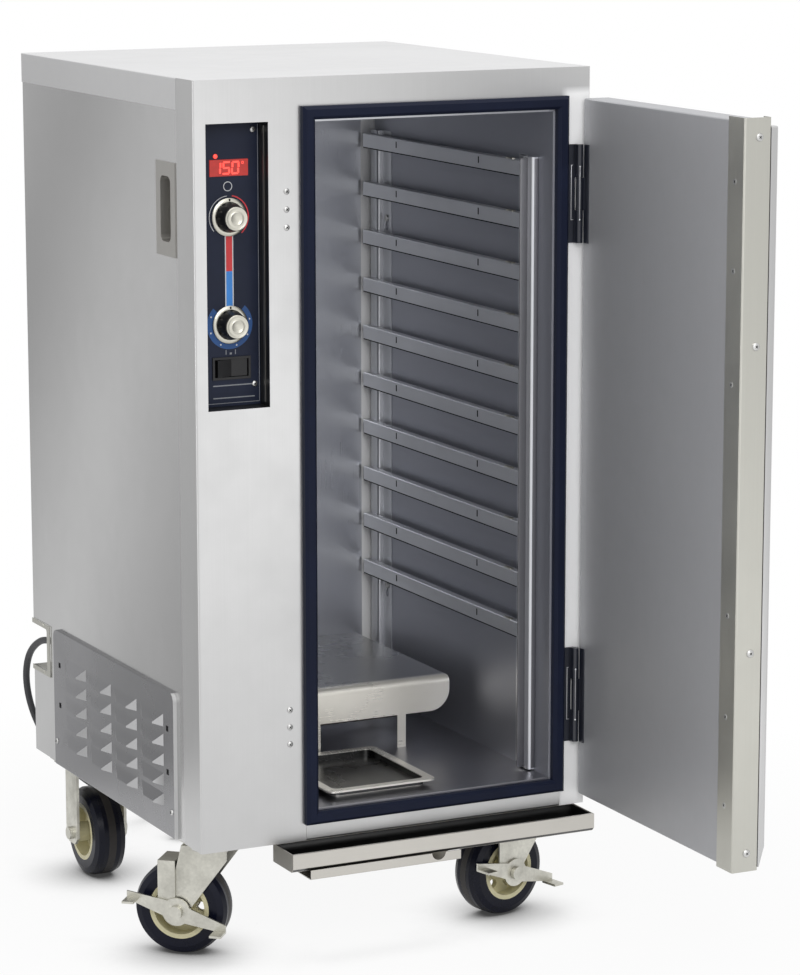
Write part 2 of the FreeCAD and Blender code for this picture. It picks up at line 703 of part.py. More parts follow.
def make_vent_panel():
    """A shallow cover with rows of pressed louvres that open downwards."""
    rear = vent_end
    high = base + dim.vent_height
    cover = box("vent_cover", (vent_face, side_left), (vent_y, rear), (base, high))
    x_axis = Vector(1, 0, 0)
    corners = rounded(
        "vent_corners",
        cover,
        dim.vent_corner,
        lambda edge: runs_along(edge, x_axis) and edge.CenterOfMass.z > high.value - 1,
    )
    hollow = box(
        "vent_hollow",
        (vent_face + dim.skin, right),
        (vent_y + dim.skin, rear - dim.skin),
        (base + dim.skin, high - dim.skin),
    )
    hollow_corners = rounded(
        "vent_hollow_corners",
        hollow,
        dim.vent_corner - dim.skin,
        lambda edge: runs_along(edge, x_axis) and edge.CenterOfMass.z > high.value - dim.skin.value - 1,
    )
    scoops = [cut("vent_shell", corners, hollow_corners)]
    mouths = []
    room = rear - vent_y - dim.louvre_first * 2 + dim.louvre_pitch - dim.louvre_length
    for column in range(int(room.value / dim.louvre_pitch.value)):
        for row in range(LOUVRE_ROWS):
            y = vent_y + dim.louvre_first + dim.louvre_pitch * column
            z = base + dim.louvre_low + dim.louvre_step * row
            scoops.append(louvre(f"scoop_{column}_{row}", y, z, ZERO))
            mouths.append(louvre(f"mouth_{column}_{row}", y, z, dim.skin))
    pressed = join("vent_pressed", *scoops)
    keep(cut("vent_cut", pressed, *mouths), "vent_panel")


def louvre(name, y, z, wall):
    """A louvre's tapered form; with a wall it is the space inside and the slot behind it."""
    form = doc.addObject("Part::Wedge", name)
    form.Placement = FreeCAD.Placement(Vector(), FreeCAD.Rotation(Vector(0, 0, 1), 90))
    slot = wall * 3
    bind(form, "Xmin", wall)
    bind(form, "Xmax", dim.louvre_length - wall)
    bind(form, "X2min", dim.louvre_taper + wall)
    bind(form, "X2max", dim.louvre_length - dim.louvre_taper - wall)
    bind(form, "Ymin", -slot)
    bind(form, "Ymax", dim.louvre_proud - wall)
    bind(form, "Zmin", -wall)
    bind(form, "Zmax", dim.louvre_height - wall * 2)
    bind(form, "Z2min", -wall)
    bind(form, "Z2max", dim.louvre_lip - wall)
    return place(form, (vent_face, y, z))


def grip(name, side):
    """A recessed hand grip: a plate with a deep cup in it."""
    y = front + dim.grip_front + dim.grip_length / 2
    z = top - dim.grip_drop - dim.grip_height / 2
    face = side * (dim.body_width / 2 - dim.skin)
    return recessed_cup(name, "x", (face, y, z), side)


def recessed_cup(name, axis, at, side):
    """A grip's plate and cup about a point of the face that it is let into; side is outwards."""
    def slab(suffix, depth, wide, high, thick):
        along = (as_size(depth) * side, as_size(thick) * side)
        across = (-wide / 2, wide / 2)
        up = (-high / 2, high / 2)
        spans = (along, across, up) if axis == "x" else (across, along, up)
        pairs = [(spot + low, spot + high_end) for spot, (low, high_end) in zip(at, spans)]
        return box(f"{name}_{suffix}", *pairs)

    way = Vector(1, 0, 0) if axis == "x" else Vector(0, 1, 0)
    wall = dim.skin
    plate = slab("plate", 0, dim.grip_length, dim.grip_height, dim.grip_plate)
    shell = slab("shell", -dim.cup_depth - wall, dim.cup_width + wall * 2, dim.cup_height + wall * 2, 0)
    hollow = slab("hollow", -dim.cup_depth, dim.cup_width, dim.cup_height, dim.grip_plate * 2)
    round_shell = rounded(f"{name}_shell_round", shell, dim.cup_corner + wall, lambda e: runs_along(e, way))
    round_hollow = rounded(f"{name}_hollow_round", hollow, dim.cup_corner, lambda e: runs_along(e, way))
    return cut(f"{name}_cut", join(f"{name}_body", plate, round_shell), round_hollow)


# Heated compartment


def make_liner():
    def side_wall(name, side):
        inner = cavity_walls[side]
        outer = inner + side * dim.skin
        edge = inner + side * (dim.liner_flange - dim.fit_gap)
        rear = cavity_back + dim.skin
        outline = [
            (inner, front),
            (edge, front),
            (edge, front + dim.skin),
            (outer, front + dim.skin),
            (outer, rear),
            (inner, rear),
        ]
        ends = (opening_low + dim.fit_gap, opening_high - dim.fit_gap)
        return prism(name, "XY", outline, ends)

    wall_span = (cavity_left - dim.skin * 2, cavity_left + dim.skin)
    holes = element_rods("element_hole", wall_span, dim.element_radius + dim.fit_gap)
    left_wall = cut("liner_left_cut", side_wall("liner_left", -1), *holes)
    keep(group("liner_walls", left_wall, side_wall("liner_right", 1)), "liner_sides")

    across = (cavity_left, cavity_right)
    ceiling = [
        (front, cavity_high),
        (front, opening_high - dim.fit_gap),
        (front + dim.skin, opening_high - dim.fit_gap),
        (front + dim.skin, cavity_high + dim.skin),
        (cavity_back, cavity_high + dim.skin),
        (cavity_back, cavity_high),
    ]
    keep(prism("ceiling", "YZ", ceiling, across), "liner_ceiling")
    floor = [
        (front, cavity_low),
        (front, opening_low + dim.fit_gap),
        (front + dim.skin, opening_low + dim.fit_gap),
        (front + dim.skin, cavity_low - dim.skin),
        (cavity_back, cavity_low - dim.skin),
        (cavity_back, cavity_low),
    ]
    keep(prism("floor", "YZ", floor, across), "liner_floor")
    keep(
        box(
            "liner_rear",
            across,
            (cavity_back, cavity_back + dim.skin),
            (cavity_low - dim.skin, cavity_high + dim.skin),
        ),
        "liner_back",
    )


def element_rods(name, span, radius):
    """A round piece or hole on each of the heating element's two ends."""
    z = cavity_low + dim.element_rise
    y = cavity_back - dim.element_rear - dim.element_spread
    return [
        rod(f"{name}_{number}", "x", span, (y + dim.element_spread * number, z), radius)
        for number in range(2)
    ]


def make_insulation():
    gap = dim.fit_gap
    near = front + dim.skin + gap
    rear = cavity_back + dim.skin
    low = mount_plane + dim.pan_plate + gap
    high = top - dim.skin - gap
    right_inner = cavity_right + dim.skin + gap
    left_inner = cavity_left - dim.skin - gap
    shell_right = side_right - dim.skin - dim.pan_plate - gap
    between = (cavity_left + gap, cavity_right - gap)
    left_outer = left_inner - dim.left_board
    right_board = box("board_right", (right_inner, shell_right), (near, rear), (low, high))
    cup = cup_window("board_cup", 1, dim.cup_depth + dim.skin * 2 + gap)
    left_board = box("board_left", (left_outer, left_inner), (near, rear), (low, high))
    holes = element_rods("board_hole", (left_outer - gap, cavity_left), dim.element_radius + gap)
    boards = [
        cut("board_right_cut", right_board, cup),
        cut("board_left_cut", left_board, *holes),
        box("board_top", between, (near, rear), (cavity_high + dim.skin + gap, high)),
        box("board_floor", between, (near, rear), (low, cavity_low - dim.skin - gap)),
        box(
            "board_back",
            (left_outer, shell_right),
            (rear + gap, back - dim.skin * 2 - gap),
            (low, high),
        ),
    ]
    keep(group("insulation_boards", *boards), "insulation")


def make_seal():
    """Four mitred strips round the opening, bevelled along their front edges."""
    inner = (
        cavity_left - dim.seal_reveal,
        cavity_right + dim.seal_reveal,
        cavity_low - dim.seal_reveal,
        cavity_high + dim.seal_reveal,
    )
    x0, x1, z0, z1 = inner
    wide = dim.seal_width
    rings = {
        "seal_left": [(x0, z0), (x0, z1), (x0 - wide, z1 + wide), (x0 - wide, z0 - wide)],
        "seal_right": [(x1, z0), (x1, z1), (x1 + wide, z1 + wide), (x1 + wide, z0 - wide)],
        "seal_top": [(x0, z1), (x1, z1), (x1 + wide, z1 + wide), (x0 - wide, z1 + wide)],
        "seal_bottom": [(x0, z0), (x1, z0), (x1 + wide, z0 - wide), (x0 - wide, z0 - wide)],
    }
    strips = []
    for name, outline in rings.items():
        strip = prism(name, "XZ", outline, (front - dim.seal_proud, front))
        way = Vector(0, 0, 1) if name in ("seal_left", "seal_right") else Vector(1, 0, 0)
        doc.recompute()
        bevel = strip.newObject("PartDesign::Chamfer", f"{name}_bevel")
        pad = strip.getObject(f"{name}_pad")
        limit = front.value - dim.seal_proud.value + 0.01
        edges = [
            f"Edge{number}"
            for number, edge in enumerate(pad.Shape.Edges, 1)
            if runs_along(edge, way) and edge.CenterOfMass.y < limit
        ]
        bevel.Base = (pad, edges)
        bind(bevel, "Size", dim.seal_bevel)
        strips.append(strip)
    keep(group("seal_strips", *strips), "door_seal")


def make_baffle():
    """A hood over the heating element: apron, top and four bent legs."""
    x0 = cavity_left + dim.baffle_gap
    x1 = cavity_right - dim.baffle_gap
    near = front + dim.baffle_front
    high = base + dim.baffle_top
    low = high - dim.baffle_apron
    rear = cavity_back - dim.fit_gap
    skin = dim.skin
    outer = box("baffle_outer", (x0, x1), (near, rear), (low, high))
    inner = box("baffle_inner", (x0 - skin, x1 + skin), (near + skin, rear + skin), (low - skin, high - skin))
    x_axis = Vector(1, 0, 0)
    bends = []
    for block, radius in ((outer, dim.baffle_bend), (inner, dim.baffle_bend - skin)):
        doc.recompute()
        size = block.Shape.BoundBox
        bends.append(
            rounded(
                f"{block.Name}_bend",
                block,
                radius,
                lambda edge: runs_along(edge, x_axis)
                and edge.CenterOfMass.y < size.YMin + 1
                and edge.CenterOfMass.z > size.ZMax - 1,
            )
        )
    y_axis = Vector(0, 1, 0)
    hood = rounded(
        "baffle_apron_round",
        cut("baffle_sheet", *bends),
        dim.baffle_corner,
        lambda edge: runs_along(edge, y_axis) and edge.CenterOfMass.z < low.value + 1,
    )
    pieces = [hood]
    for number, centre in enumerate((x0 + dim.baffle_leg_inset, x1 - dim.baffle_leg_inset)):
        wide = (centre - dim.baffle_leg / 2, centre + dim.baffle_leg / 2)
        for suffix, y, up in (("front", near, high - dim.baffle_bend), ("rear", rear - skin, high)):
            pieces.append(box(f"baffle_leg_{suffix}_{number}", wide, (y, y + skin), (cavity_low, up)))
    keep(join("baffle", *pieces), "heat_baffle")


def make_element():
    """A tubular heater: two straight runs and a half turn, let through the left wall."""
    x0 = (cavity_left - dim.element_tail).value
    x1 = (cavity_right - dim.element_clear).value
    y0 = (cavity_back - dim.element_rear - dim.element_spread).value
    y1 = y0 + dim.element_spread.value
    z = (cavity_low + dim.element_rise).value
    bend = dim.element_spread.value / 2
    tip = Vector(x1 + bend, y0 + bend, z)
    path = Part.Wire([
        Part.LineSegment(Vector(x0, y0, z), Vector(x1, y0, z)).toShape(),
        Part.Arc(Vector(x1, y0, z), tip, Vector(x1, y1, z)).toShape(),
        Part.LineSegment(Vector(x1, y1, z), Vector(x0, y1, z)).toShape(),
    ])
    ring = Part.Wire([Part.Circle(Vector(x0, y0, z), Vector(1, 0, 0), dim.element_radius.value).toShape()])
    tube = doc.addObject("Part::Feature", "element_tube")
    tube.Shape = path.makePipeShell([ring], True, False)
    collar_span = (cavity_left, cavity_left + dim.element_collar_depth)
    collars = element_rods("element_collar", collar_span, dim.element_collar)
    keep(join("element", tube, *collars), "heating_element")


def make_water_pan():
    """A shallow pan with a flat rim and rounded corners."""
    near = cavity_left + dim.pan_left
    x = (near, near + dim.pan_width)
    y = (front + dim.pan_front, front + dim.pan_front + dim.pan_length)
    low = cavity_low + dim.fit_gap
    high = low + dim.pan_height
    rim = dim.pan_rim
    z_axis = Vector(0, 0, 1)

    def tray(name, inset, z, corner):
        block = box(name, (x[0] + inset, x[1] - inset), (y[0] + inset, y[1] - inset), z)
        return rounded(f"{name}_round", block, corner, lambda edge: runs_along(edge, z_axis))

    flat = tray("pan_flat", ZERO, (high - dim.skin * 2, high), dim.pan_corner)
    bowl = tray("pan_bowl", rim, (low, high), dim.pan_corner)
    inside = tray("pan_inside", rim + dim.skin, (low + dim.skin, high + dim.skin), dim.pan_corner - dim.skin)
    keep(cut("pan_cut", join("pan_solid", flat, bowl), inside), "water_pan")


def make_studs():
    """Headed studs on the compartment's walls, four to a rack."""
    studs = []
    for side in (-1, 1):
        wall = cavity_walls[side]
        brim = wall - side * (dim.fit_gap * 2 + dim.skin)
        for y in keyhole_places():
            for z in stud_levels:
                name = f"stud_{len(studs)}"
                shank = rod(f"{name}_shank", "x", (wall, brim), (y, z), dim.stud_radius)
                head_span = (brim, brim - side * dim.stud_head_depth)
                head = rod(f"{name}_head", "x", head_span, (y, z), dim.stud_head)
                studs.append(join(name, shank, head))
    keep(group("stud_set", *studs), "rack_studs")


def keyhole_places():
    """Middle of the front and rear uprights' brims, front to back."""
    front_brim = front + dim.rack_front + dim.rack_crown + dim.rack_brim / 2
    rear_brim = rack_far - dim.rack_crown - dim.rack_brim / 2
    return front_brim, rear_brim


def make_rack(name, side):
    """A lift-out rack: two hat-section uprights that carry the tray slides."""
    wall = cavity_walls[side] - side * dim.fit_gap
    crown = wall - side * dim.rack_depth
    skin = side * dim.skin
    ends = (base + dim.rack_foot, rack_high)
    pieces = []
    edges = (front + dim.rack_front, rack_far)
    for number, (edge, way) in enumerate(zip(edges, (1, -1))):
        def along(length):
            return edge + way * length

        hat = [
            (wall, along(ZERO)),
            (crown, along(ZERO)),
            (crown, along(dim.rack_crown)),
            (wall - skin, along(dim.rack_crown)),
            (wall - skin, along(dim.rack_crown + dim.rack_brim)),
            (wall, along(dim.rack_crown + dim.rack_brim)),
            (wall, along(dim.rack_crown - dim.skin)),
            (crown + skin, along(dim.rack_crown - dim.skin)),
            (crown + skin, along(dim.skin)),
            (wall, along(dim.skin)),
        ]
        upright = prism(f"{name}_upright_{number}", "XY", hat, ends)
        y = keyhole_places()[number]
        holes = []
        for z in stud_levels:
            holes.append(keyhole(f"{name}_keyhole_{number}_{len(holes)}", wall, side, y, z))
        pieces.append(cut(f"{name}_upright_cut_{number}", upright, *holes))
    web = crown - side * dim.slide_depth
    run = (front + dim.rack_front + dim.slide_setback, rack_far)
    for level in range(TRAY_SLIDES):
        high = rack_high - dim.slide_drop - dim.slide_pitch * level
        low = high - dim.slide_height
        channel = [
            (crown, high),
            (web, high),
            (web, low),
            (web + side * dim.slide_lip, low),
            (web + side * dim.slide_lip, low + dim.skin),
            (web + skin, low + dim.skin),
            (web + skin, high - dim.skin),
            (crown, high - dim.skin),
        ]
        pieces.append(prism(f"{name}_slide_{level}", "XZ", channel, run))
    keep(group(f"{name}_set", *pieces), name)


def keyhole(name, wall, side, y, z):
    """A slot for the stud's shank with a round hole for its head below."""
    gap = dim.fit_gap
    through = (wall + side * dim.skin, wall - side * dim.skin * 2)
    slot_half = dim.stud_radius + gap
    entry = z - dim.rack_lift
    round_end = rod(f"{name}_end", "x", through, (y, z), slot_half)
    entry_hole = rod(f"{name}_entry", "x", through, (y, entry), dim.stud_head + gap)
    slot = box(f"{name}_slot", through, (y - slot_half, y + slot_half), (entry, z))
    return join(name, round_end, entry_hole, slot)


# Control column


def make_controls():
    x = (recess_x, recess_x + dim.recess_width)
    z = (recess_z, recess_z + dim.recess_height)
    skin = dim.skin
    flange = dim.recess_flange
    outer = box(
        "recess_outer",
        (x[0] - skin, x[1] + skin),
        (front + skin, panel_back + skin),
        (z[0] - skin, z[1] + skin),
    )
    inner = box("recess_inner", x, (front, panel_back), z)
    window = box(
        "recess_back",
        (x[0] + flange, x[1] - flange),
        (panel_back - skin, panel_back + skin * 2),
        (z[0] + flange, z[1] - flange),
    )
    keep(cut("recess_cut", outer, inner, window), "control_recess")

    gap = dim.fit_gap
    plate = box("panel_plate", (x[0] + gap, x[1] - gap), (panel_face, panel_back), (z[0] + gap, z[1] - gap))
    through = (panel_face - skin, panel_back + skin)
    display = display_span()
    openings = [
        box("display_hole", widen(display[0], gap), through, widen(display[1], gap)),
        rod("lamp_hole", "y", through, lamp_centre(), dim.lamp_radius + gap),
        box("switch_hole", *switch_case(through, gap)),
    ]
    for number, rise in enumerate((upper_knob_rise, dim.lower_knob_rise)):
        spot = (knob_x, recess_z + rise)
        openings.append(rod(f"shaft_hole_{number}", "y", through, spot, dim.shaft_radius + gap))
    keep(cut("panel_cut", plate, *openings), "control_panel")

    lens_y = (panel_face - dim.display_proud, panel_face + dim.display_depth)
    lens = box("display_lens", display[0], lens_y, display[1])
    lamp = rod("lamp_lens", "y", lens_y, lamp_centre(), dim.lamp_radius)
    keep(group("lenses", lens, lamp), "display_lenses")

    cases = []
    for number, rise in enumerate((upper_knob_rise, dim.lower_knob_rise)):
        spot = (knob_x, recess_z + rise)
        case_y = (panel_back, panel_back + dim.thermostat_depth)
        case = rod(f"thermostat_case_{number}", "y", case_y, spot, dim.thermostat_radius)
        shaft_y = (panel_face - dim.shaft_reach, panel_back)
        shaft = rod(f"thermostat_shaft_{number}", "y", shaft_y, spot, dim.shaft_radius)
        cases.append(join(f"thermostat_{number}", case, shaft))
    keep(group("thermostat_pair", *cases), "thermostats")


def widen(pair, gap):
    return pair[0] - gap, pair[1] + gap


def display_span():
    x = recess_x + dim.display_left
    z = recess_z + dim.recess_height - dim.display_drop - dim.display_height
    return (x, x + dim.display_width), (z, z + dim.display_height)


def lamp_centre():
    return recess_x + dim.lamp_left, recess_z + dim.recess_height - dim.lamp_drop


def switch_case(depth, gap):
    """The block of the switch housing behind its frame, with room round it."""
    x = recess_x + dim.switch_left
    z = recess_z + dim.switch_rise
    half_x = dim.switch_width / 2 - dim.switch_wall / 2 + gap
    half_z = dim.switch_height / 2 - dim.switch_wall / 2 + gap
    return (x - half_x, x + half_x), depth, (z - half_z, z + half_z)


def make_knob(name, rise):
    """A dial skirt under a tapered, fluted grip with a flat cap; bored for its shaft."""
    high = dim.knob_height
    skirt = dim.knob_skirt
    bore = dim.shaft_radius + dim.running_gap
    depth = dim.shaft_reach - dim.knob_gap + dim.fit_gap
    profile = [
        (bore, ZERO),
        (dim.knob_skirt_radius, ZERO),
        (dim.knob_skirt_radius, -skirt / 2),
        (dim.knob_waist_radius, -skirt),
        (dim.knob_cap_radius + dim.knob_shoulder, dim.knob_bevel - high),
        (dim.knob_cap_radius, -high),
        (ZERO, -high),
        (ZERO, -depth),
        (bore, -depth),
    ]
    at = (knob_x, panel_face - dim.knob_gap, recess_z + rise)
    grip_body = lathe(name, "y", profile, at)
    doc.recompute()
    turned = grip_body.getObject(f"{name}_turned")
    flutes = sketch_on(grip_body, "XZ", f"{name}_flute", skirt)
    draw_circle(flutes, dim.knob_waist_radius, dim.knob_flute)
    groove = grip_body.newObject("PartDesign::Pocket", f"{name}_groove")
    groove.Profile = flutes
    groove.Reversed = True
    bind(groove, "Length", high)
    doc.recompute()
    around = grip_body.newObject("PartDesign::PolarPattern", f"{name}_flutes")
    around.Originals = [groove]
    around.Axis = (flutes, ["N_Axis"])
    around.Angle = 360
    around.Occurrences = KNOB_FLUTES
    grip_body.Tip = around
    doc.recompute()
    if not grip_body.Shape.Volume < turned.Shape.Volume:
        raise RuntimeError(f"{name}: the flutes cut nothing")
    keep(grip_body, name)


def make_switch():
    """A framed rocker switch, tipped to one side about an upright pin."""
    x = recess_x + dim.switch_left
    z = recess_z + dim.switch_rise
    half_x = dim.switch_width / 2
    half_z = dim.switch_height / 2
    face = panel_face - dim.switch_proud
    frame = box("switch_frame", (x - half_x, x + half_x), (face, panel_face), (z - half_z, z + half_z))
    case = box("switch_case", *switch_case((face, panel_face + dim.switch_depth), ZERO))
    wall = dim.switch_wall
    well_y = (face - wall, panel_face + dim.switch_depth - wall)
    well_z = (z - half_z + wall, z + half_z - wall)
    well = box("switch_well", (x - half_x + wall, x + half_x - wall), well_y, well_z)
    pin_y = panel_face + dim.rocker_pivot
    pin = rod("switch_pin", "z", well_z, (x, pin_y), dim.rocker_pin_radius)
    housing = cut("switch_body", join("switch_block", frame, case), well)
    keep(join("switch_assembly", housing, pin), "switch_housing")

    half = dim.rocker_length / 2
    keel = dim.rocker_keel_half
    outline = [
        (-half, -dim.rocker_rise),
        (ZERO, -dim.rocker_dip),
        (half, -dim.rocker_rise),
        (half, ZERO),
        (keel, dim.rocker_keel),
        (-keel, dim.rocker_keel),
        (-half, ZERO),
    ]
    tall = (-dim.rocker_width / 2, dim.rocker_width / 2)
    button = prism("rocker_block", "XY", outline, tall, (x, pin_y, z), dim.rocker_tilt)
    hole_z = (z - half_z, z + half_z)
    hole = rod("rocker_hole", "z", hole_z, (x, pin_y), dim.rocker_pin_radius + dim.running_gap)
    keep(cut("rocker_cut", button, hole), "rocker")


# Door, drawn closed about its hinge pin and turned open


def door_turn(piece):
    return place(piece, (hinge_x, hinge_y, base), dim.door_open)


def door_prism(name, plane, corners, ends):
    return prism(name, plane, corners, ends, (hinge_x, hinge_y, base), dim.door_open)


def door_planes():
    """Places on the closed door, from its hinge pin."""
    edge = dim.door_lip
    free = cavity_left - dim.seal_reveal - dim.seal_width - dim.door_cover - hinge_x
    leg = dim.hinge_setback - dim.seal_proud - dim.seal_clearance
    inner = leg - dim.skin
    rear = inner - dim.door_pan_depth
    outer = rear - dim.door_skin_depth
    low = dim.door_bottom
    high = dim.body_height - dim.door_drop
    return SimpleNamespace(**locals())


def rectangle(x, y):
    return [(x[0], y[0]), (x[1], y[0]), (x[1], y[1]), (x[0], y[1])]


def make_door():
    at = door_planes()
    skin = dim.skin
    web = at.free + skin
    pan = door_prism("inner_pan", "XY", rectangle((web, at.edge), (at.inner, at.rear)), (at.low, at.high))
    hollow = door_prism(
        "inner_hollow",
        "XY",
        rectangle((web - skin, at.edge - skin), (at.inner - skin, at.rear - skin)),
        (at.low + skin, at.high - skin),
    )
    keep(cut("inner_cut", pan, hollow), "door_inner_pan")

    channel = [
        (at.free, at.leg),
        (at.free + dim.edge_leg, at.leg),
        (at.free + dim.edge_leg, at.inner),
        (web, at.inner),
        (web, at.rear),
        (at.free + dim.edge_back_leg, at.rear),
        (at.free + dim.edge_back_leg, at.rear - skin),
        (at.free, at.rear - skin),
    ]
    channel_ends = (at.low - dim.edge_overhang, at.high + dim.edge_overhang)
    keep(door_prism("edge_channel", "XY", channel, channel_ends), "door_edge_channel")

    skin_top = at.high - dim.door_skin_drop
    skin_rear = at.rear - skin
    foot = skin_rear - dim.door_skin_foot
    shell = [
        (skin_rear, at.low),
        (foot, at.low),
        (at.outer, at.low + dim.door_skin_bevel),
        (at.outer, skin_top),
        (skin_rear, skin_top),
    ]
    inside = [
        (skin_rear + skin, at.low + skin),
        (foot, at.low + skin),
        (at.outer + skin, at.low + dim.door_skin_bevel),
        (at.outer + skin, skin_top - skin),
        (skin_rear + skin, skin_top - skin),
    ]
    solid = door_prism("skin_solid", "YZ", shell, (at.free, at.edge))
    void = door_prism("skin_void", "YZ", inside, (at.free + skin, at.edge - skin))
    pull_x = at.free + dim.pull_inset
    pull_z = at.low + dim.pull_rise
    half_x = dim.cup_width / 2 + skin + dim.fit_gap
    half_z = dim.cup_height / 2 + skin + dim.fit_gap
    slot = rectangle((pull_x - half_x, pull_x + half_x), (pull_z - half_z, pull_z + half_z))
    hole = door_prism("skin_hole", "XZ", slot, (at.outer - skin, at.outer + skin * 2))
    keep(cut("skin_cut", solid, void, hole), "door_skin")

    gap = dim.fit_gap
    core_y = (at.inner - skin - gap, skin_rear)
    core = door_prism(
        "core_block",
        "XY",
        rectangle((web + gap, at.edge - skin - gap), core_y),
        (at.low + skin + gap, skin_top - skin - gap),
    )
    cup = door_prism("core_cup", "XZ", slot, (skin_rear - skin, at.outer + dim.cup_depth + skin + gap))
    legs = door_prism(
        "core_leg",
        "XY",
        rectangle((at.free, at.free + dim.edge_back_leg + gap), (at.rear + gap, skin_rear - skin)),
        (at.low, at.high),
    )
    keep(cut("core_cut", core, cup, legs), "door_core")

    pull = recessed_cup("pull", "y", (pull_x, at.outer, pull_z), -1)
    keep(door_turn(group("pull_set", pull)), "door_pull")

    make_door_screws(at)


def make_door_screws(at):
    """Screw heads down the edge channel's inner leg and its edge."""
    screws = []
    rises = [at.low + rise for rise in LEG_SCREW_RISES] + [at.high - drop for drop in LEG_SCREW_DROPS]
    for number, z in enumerate(rises):
        spot = (at.free + dim.leg_screw_inset, z)
        span = (at.leg, at.leg + dim.screw_flush)
        screws.append(rod(f"leg_screw_{number}", "y", span, spot, dim.screw_radius))
    rises = [at.low + rise for rise in EDGE_SCREW_RISES] + [at.high - drop for drop in EDGE_SCREW_DROPS]
    for number, z in enumerate(rises):
        spot = (at.leg - dim.edge_screw_inset, z)
        span = (at.free - dim.screw_head, at.free)
        screws.append(rod(f"edge_screw_{number}", "x", span, spot, dim.screw_radius))
    keep(door_turn(group("door_screw_set", *screws)), "door_screws")


def make_hinges():
    """Lift-off hinges: the cabinet's leaf holds the pin, the door's leaf turns on it."""
    third = dim.hinge_length / 3
    gap = dim.knuckle_gap / 2
    near = -dim.leaf_reach
    far = -(dim.leaf_reach + dim.leaf_width)
    at = door_planes()
    frame_leaves = []
    door_leaves = []
    upper_low = dim.body_height - dim.hinge_drop - dim.hinge_length
    for number, low in enumerate((dim.hinge_low, upper_low)):
        high = low + dim.hinge_length
        lower = (low, low + third - gap)
        middle = (low + third + gap, high - third - gap)
        upper = (high - third + gap, high)
        face = dim.hinge_setback
        spot = (hinge_x, hinge_y, base)
        leaf = rectangle((far, near), (face - dim.leaf_thickness, face))
        web = rectangle((near - dim.leaf_thickness, ZERO), (dim.knuckle_web, face))
        pieces = [prism(f"frame_leaf_{number}", "XY", leaf, (low, high), spot)]
        for suffix, ends in (("low", lower), ("high", upper)):
            pieces.append(prism(f"frame_web_{suffix}_{number}", "XY", web, ends, spot))
            knuckle = disc(dim.knuckle_radius, *ends)
            pieces.append(lathe(f"frame_knuckle_{suffix}_{number}", "z", knuckle, spot))
        pieces.append(lathe(f"hinge_pin_{number}", "z", disc(dim.hinge_pin_radius, low, high), spot))
        frame_leaves.append(join(f"frame_hinge_{number}", *pieces))

        leaf = rectangle((far, near), (at.inner, at.inner + dim.leaf_thickness))
        web = rectangle((near - dim.leaf_thickness, ZERO), (at.inner, -dim.knuckle_web))
        bore = dim.hinge_pin_radius + dim.running_gap
        ring = rectangle((bore, dim.knuckle_radius), middle)
        arm = cut(
            f"door_web_cut_{number}",
            door_prism(f"door_web_{number}", "XY", web, middle),
            lathe(f"door_bore_{number}", "z", disc(bore, low, high), spot),
        )
        knuckle = lathe(f"door_knuckle_{number}", "z", ring, spot)
        plate = door_prism(f"door_leaf_{number}", "XY", leaf, (low, high))
        door_leaves.append(join(f"door_hinge_{number}", plate, arm, knuckle))
    keep(group("frame_hinges", *frame_leaves), "hinge_frame_leaves")
    keep(group("door_hinges", *door_leaves), "hinge_door_leaves")


# Drip trough


def make_trough():
    x0 = left + dim.trough_left
    x = (x0, right - dim.trough_right)
    near = front - dim.trough_front
    rear = near + dim.trough_depth
    high = base - dim.trough_drop
    low = high - dim.trough_height
    skin = dim.skin
    bend = dim.trough_bend
    gutter = [
        (near, high),
        (near, low + bend),
        (near + bend, low),
        (rear, low),
        (rear, high),
        (rear - skin, high),
        (rear - skin, low + skin),
        (near + bend + skin / 2, low + skin),
        (near + skin, low + bend + skin / 2),
        (near + skin, high - skin),
        (near + dim.trough_lip, high - skin),
        (near + dim.trough_lip, high),
    ]
    end = [(near, high), (near, low + bend), (near + bend, low), (rear, low), (rear, high)]
    pieces = [
        prism("gutter", "YZ", gutter, x),
        prism("gutter_left_end", "YZ", end, (x[0], x[0] + skin)),
        prism("gutter_right_end", "YZ", end, (x[1] - skin, x[1])),
    ]
    keep(join("trough", *pieces), "drip_trough")

    ledge = low - dim.fit_gap
    sill = ledge - dim.bracket_height
    lip = near + dim.bracket_setback
    post = rear + dim.fit_gap
    cradle = [
        (lip, ledge),
        (lip, sill),
        (post + skin, sill),
        (post + skin, mount_plane - skin),
        (post + dim.bracket_flange, mount_plane - skin),
        (post + dim.bracket_flange, mount_plane),
        (post, mount_plane),
        (post, sill + skin),
        (lip + skin, sill + skin),
        (lip + skin, ledge),
    ]
    hanger_x = left + dim.bracket_left
    hanger = prism("cradle", "YZ", cradle, (hanger_x, hanger_x + dim.bracket_width))
    notch_x = hanger_x + dim.bracket_width - dim.bracket_notch_inset
    notch = rod("cradle_notch", "y", (lip - skin, lip + skin * 2), (notch_x, ledge), dim.bracket_notch)
    keep(cut("cradle_cut", hanger, notch), "trough_bracket")


# Casters


